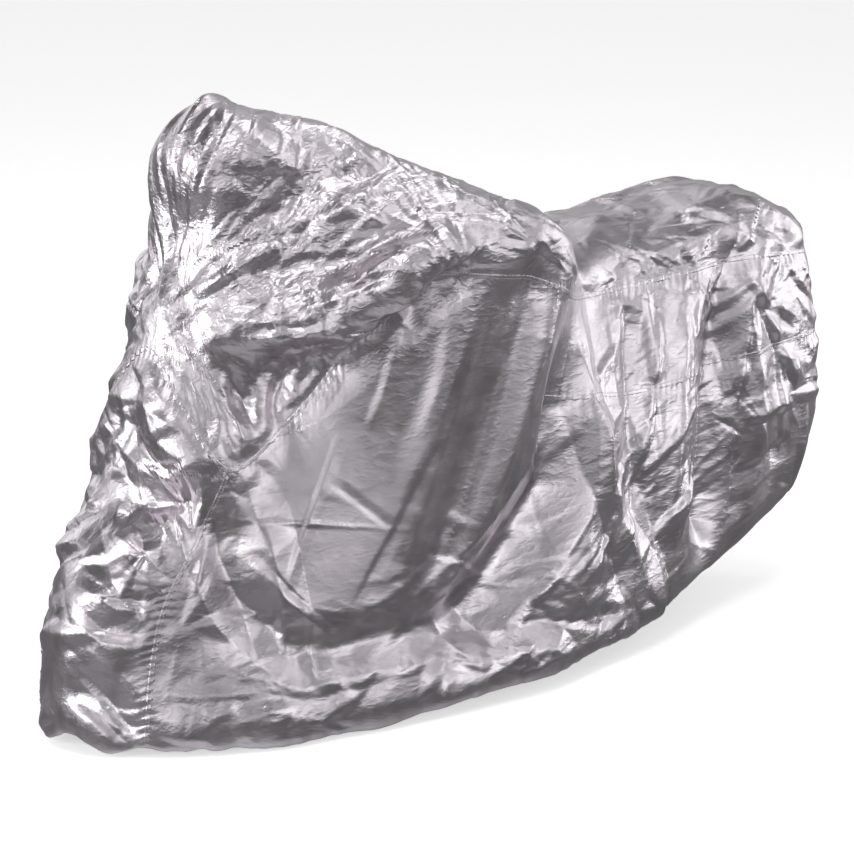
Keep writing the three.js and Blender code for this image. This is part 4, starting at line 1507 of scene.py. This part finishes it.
@dataclass
class MotorcycleCover:
    """The whole cover: panels, seams and stitches."""

    cloth: CoverCloth = field(default_factory=CoverCloth)
    silver: SilverCloth = field(default_factory=SilverCloth)
    thread: Thread = field(default_factory=Thread)

    def panels(self) -> list[Panel]:
        """Lists the panels with the sizes that they are cut to.

        Returns:
            The panels, in the order that they are built in.
        """
        end, bottom = float(LAST_SECTION), float(LEVEL_COUNT - 1)
        both, flanks = (Side.LEFT, Side.RIGHT), ("left_side_panel", "right_side_panel")
        seat, seat_levels = (SEAT_SECTION, end), (SEAM_LEVEL, SEAT_SEAM_LEVEL)
        found = [
            Panel("top_panel", both, (0.0, end), (0.0, SEAM_LEVEL), (1.45, 2.15), 1.62,
                  flanks, cell=(4.5, 3.0), rear_cell=7.0),
            Panel("front_panel", both, (0.0, FRONT_SEAM_SECTION), (SEAM_LEVEL, bottom), (0.45, 0.80), 0.28,
                  flanks, cell=(3.5, 3.5)),
        ]
        for name, side, below in zip(("left_seat_panel", "right_seat_panel"), both, flanks):
            found.append(Panel(name, (side,), seat, seat_levels, (0.30, 1.15), 0.25, (below,)))
        for name, side in zip(flanks, both):
            found.append(Panel(name, (side,), (FRONT_SEAM_SECTION, end), (SEAM_LEVEL, bottom), (0.90, 2.25),
                               1.30, ("front_panel",), cut_sections=seat, cut_levels=seat_levels))
        return found

    @staticmethod
    def seam(panel: Panel) -> Seam | None:
        """Finds the seam that a panel carries.

        Args:
            panel: The panel, already draped.

        Returns:
            The seam, or None.
        """
        every = slice(None)
        top, hem = (nearest(panel.net.levels, level) for level in (SEAT_SEAM_LEVEL, HEM_LEVEL))
        found = {
            "top_panel": ("long_seam", [(0, every, -1), (1, every, -1)]),
            "front_panel": ("front_seams", [(0, -1, slice(hem + 1)), (1, -1, slice(hem + 1))]),
            "left_seat_panel": ("left_seat_seam", [(0, every, -1)]),
            "right_seat_panel": ("right_seat_seam", [(0, every, -1)]),
            "left_side_panel": ("back_seam", [(0, -1, slice(top, hem + 1))]),
        }.get(panel.node)
        if found is None:
            return None
        name, lines = found
        paths = []
        for where in lines:
            order = -panel.sides[where[0]].value
            paths.append(tuple(part[::order] for part in panel.line(*where)))
        return Seam(name, paths)

    def build(self) -> None:
        """Builds every piece and reports it."""
        silver, thread = self.silver.material(), self.thread.material()
        cloth = self.cloth
        cloth.build()
        counts = [len(kind) for kind in (cloth.folds, cloth.facets, cloth.rucks)]
        log.info("cloth: %d folds, %d facets, %d rucks", *counts)
        for panel in self.panels():
            pieces = [panel.build(cloth, silver)]
            seam = self.seam(panel)
            if seam:
                pieces += [seam.build(cloth, silver), seam.stitch(cloth, thread)]
            panel.declare(pieces[1:])
            for piece in pieces:
                piece.data.calc_loop_triangles()
                log.info("%s: %d triangles", piece.name, len(piece.data.loop_triangles))


@dataclass(frozen=True)
class Softbox:
    """One large soft light: its place, what it looks at, its size in metres and its power in watts."""

    name: str
    place: Place
    aim: Place
    size: Spot
    power: float

    def build(self) -> None:
        """Hangs the light."""
        light = bpy.data.lights.new(self.name, "AREA")
        light.shape = "RECTANGLE"
        light.size, light.size_y = self.size
        light.energy = self.power
        holder = bpy.data.objects.new(self.name, light)
        holder.location = self.place
        look = Vector(self.aim) - Vector(self.place)
        holder.rotation_euler = look.to_track_quat("-Z", "Y").to_euler()
        bpy.context.scene.collection.objects.link(holder)


@dataclass
class Studio:
    """Plain pale floor, soft light and the camera of the photograph.

    The sky and the ground give brightness by how far up a direction points, the share by how far right.
    """

    floor_half: float = 40.0
    floor_gap: float = 0.001
    azimuth: float = -47.0
    elevation: float = 12.0
    distance: float = 10.0
    target: Place = (0.0, 0.0, -0.41)
    image_pixels: float = 854.0
    pixels_to_the_metre: float = 500.0
    sensor: float = 36.0
    farthest: float = 200.0
    view_transform: str = "Standard"
    bright_side: Place = (0.62, 0.75, 0.25)
    bright_range: Spot = (-0.1, 0.9)
    dim_sky: Spot = (0.03, 0.12)
    sky: tuple[Spot, ...] = (
        (-0.2, 0.0), (-0.05, 0.08), (0.03, 0.25), (0.09, 0.65), (0.16, 1.35), (0.3, 1.6), (0.45, 0.9),
        (0.6, 0.2), (0.75, 0.12), (0.99, 0.1))
    sky_share: tuple[Spot, ...] = (
        (-0.99, 1.0), (-0.7, 1.1), (-0.45, 0.8), (-0.3, 0.25), (-0.1, 0.3), (0.08, 1.15), (0.3, 1.1),
        (0.52, 1.05), (0.62, 0.6), (0.7, 0.3), (0.99, 0.3))
    ground: tuple[Spot, ...] = (
        (-1.0, 0.7), (-0.85, 0.5), (-0.65, 0.2), (-0.45, 0.1), (-0.2, 0.06), (-0.02, 0.0))
    softboxes: tuple[Softbox, ...] = (
        Softbox("top_softbox", (0.7, -0.6, 2.6), (-0.3, -0.2, 0.0), (1.4, 1.4), 20.0),
        Softbox("front_softbox", (-1.8, -1.6, 2.8), (-1.2, -1.0, -0.9), (1.4, 1.4), 32.0),
        Softbox("back_softbox", (2.6, 2.5, 3.6), (4.4, 4.2, -0.9), (2.4, 2.4), 40.0),
        Softbox("left_softbox", (-5.0, 0.5, 0.5), (0.0, 0.0, -0.35), (3.0, 2.6), 100.0),
        Softbox("right_softbox", (4.9, -0.7, 0.1), (0.5, 0.0, -0.35), (2.0, 1.6), 20.0),
        Softbox("tail_softbox", (4.5, -2.0, -0.45), (0.8, 0.0, -0.35), (1.0, 0.7), 12.0),
        Softbox("flare_softbox", (1.9, -3.8, 0.5), (0.0, 0.0, -0.6), (2.0, 0.9), 8.0),
        Softbox("floor_softbox", (2.2, -2.6, 2.4), (1.0, -1.1, -0.9), (1.8, 1.8), 16.0),
    )

    def build(self) -> None:
        """Makes the floor, the lights and the camera."""
        self.lay_floor()
        self.light()
        for softbox in self.softboxes:
            softbox.build()
        self.place_camera()
        bpy.context.scene.view_settings.view_transform = self.view_transform

    def lay_floor(self) -> None:
        """Lays the floor just under the cover, out of sight of mirror reflections."""
        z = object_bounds()[0][2] - self.floor_gap
        half = self.floor_half
        points = np.array([(-half, -half, z), (half, -half, z), (half, half, z), (-half, half, z)])
        floor = add_object("studio_floor", points, np.array([(0, 1, 2, 3)]), StudioFloor().material())
        floor.visible_glossy = False
        floor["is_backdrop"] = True

    def light(self) -> None:
        """Makes the world: a dim sky, a bright band above the horizon and a faint glow below it."""
        world = bpy.data.worlds.new("studio_world")
        bpy.context.scene.world = world
        world.use_nodes = True
        world.node_tree.nodes.clear()
        tree = ShaderTree(world.node_tree)
        where = tree.add("ShaderNodeTexCoord").outputs["Generated"]
        facing = tree.add("ShaderNodeVectorMath", {
            0: where, 1: Vector(self.bright_side).normalized()}, operation="DOT_PRODUCT")
        dim = tree.map_range(facing.outputs["Value"], self.bright_range, self.dim_sky)
        split = tree.add("ShaderNodeSeparateXYZ", {"Vector": where})
        up, across = split.outputs["Z"], split.outputs["X"]
        glows = [
            {"Strength": dim},
            {"Color": self.greys(tree, up, self.sky), "Strength": self.greys(tree, across, self.sky_share)},
            {"Color": self.greys(tree, up, self.ground)},
        ]
        lit, *others = [tree.add("ShaderNodeBackground", glow).outputs["Background"] for glow in glows]
        for other in others:
            lit = tree.add("ShaderNodeAddShader", {0: lit, 1: other}).outputs["Shader"]
        tree.add("ShaderNodeOutputWorld", {"Surface": lit})

    @staticmethod
    def greys(tree: ShaderTree, part: bpy.types.NodeSocket,
              levels: tuple[Spot, ...]) -> bpy.types.NodeSocket:
        """Makes a ramp of greys along one part of the direction, which runs from -1 to 1."""
        share = tree.map_range(part, (-1.0, 1.0), (0.0, 1.0))
        return tree.ramp(share, [((place + 1) / 2, (grey, grey, grey)) for place, grey in levels])

    def place_camera(self) -> None:
        """Sets the camera at the photograph's angle."""
        a, e = math.radians(self.azimuth), math.radians(self.elevation)
        back = Vector((math.sin(a) * math.cos(e), -math.cos(a) * math.cos(e), math.sin(e)))
        camera = bpy.data.cameras.new("photo_camera")
        camera.sensor_width = self.sensor
        camera.lens = self.pixels_to_the_metre * self.distance * self.sensor / self.image_pixels
        camera.clip_end = self.farthest
        holder = bpy.data.objects.new("photo_camera", camera)
        holder.location = Vector(self.target) + back * self.distance
        holder.rotation_euler = (-back).to_track_quat("-Z", "Y").to_euler()
        bpy.context.scene.collection.objects.link(holder)
        bpy.context.scene.camera = holder


def main() -> None:
    """Loads the frame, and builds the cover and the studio."""
    logging.basicConfig(level=logging.INFO, format="%(name)s: %(message)s")
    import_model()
    MotorcycleCover().build()
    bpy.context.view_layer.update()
    Studio().build()


if __name__ == "__main__":
    main()
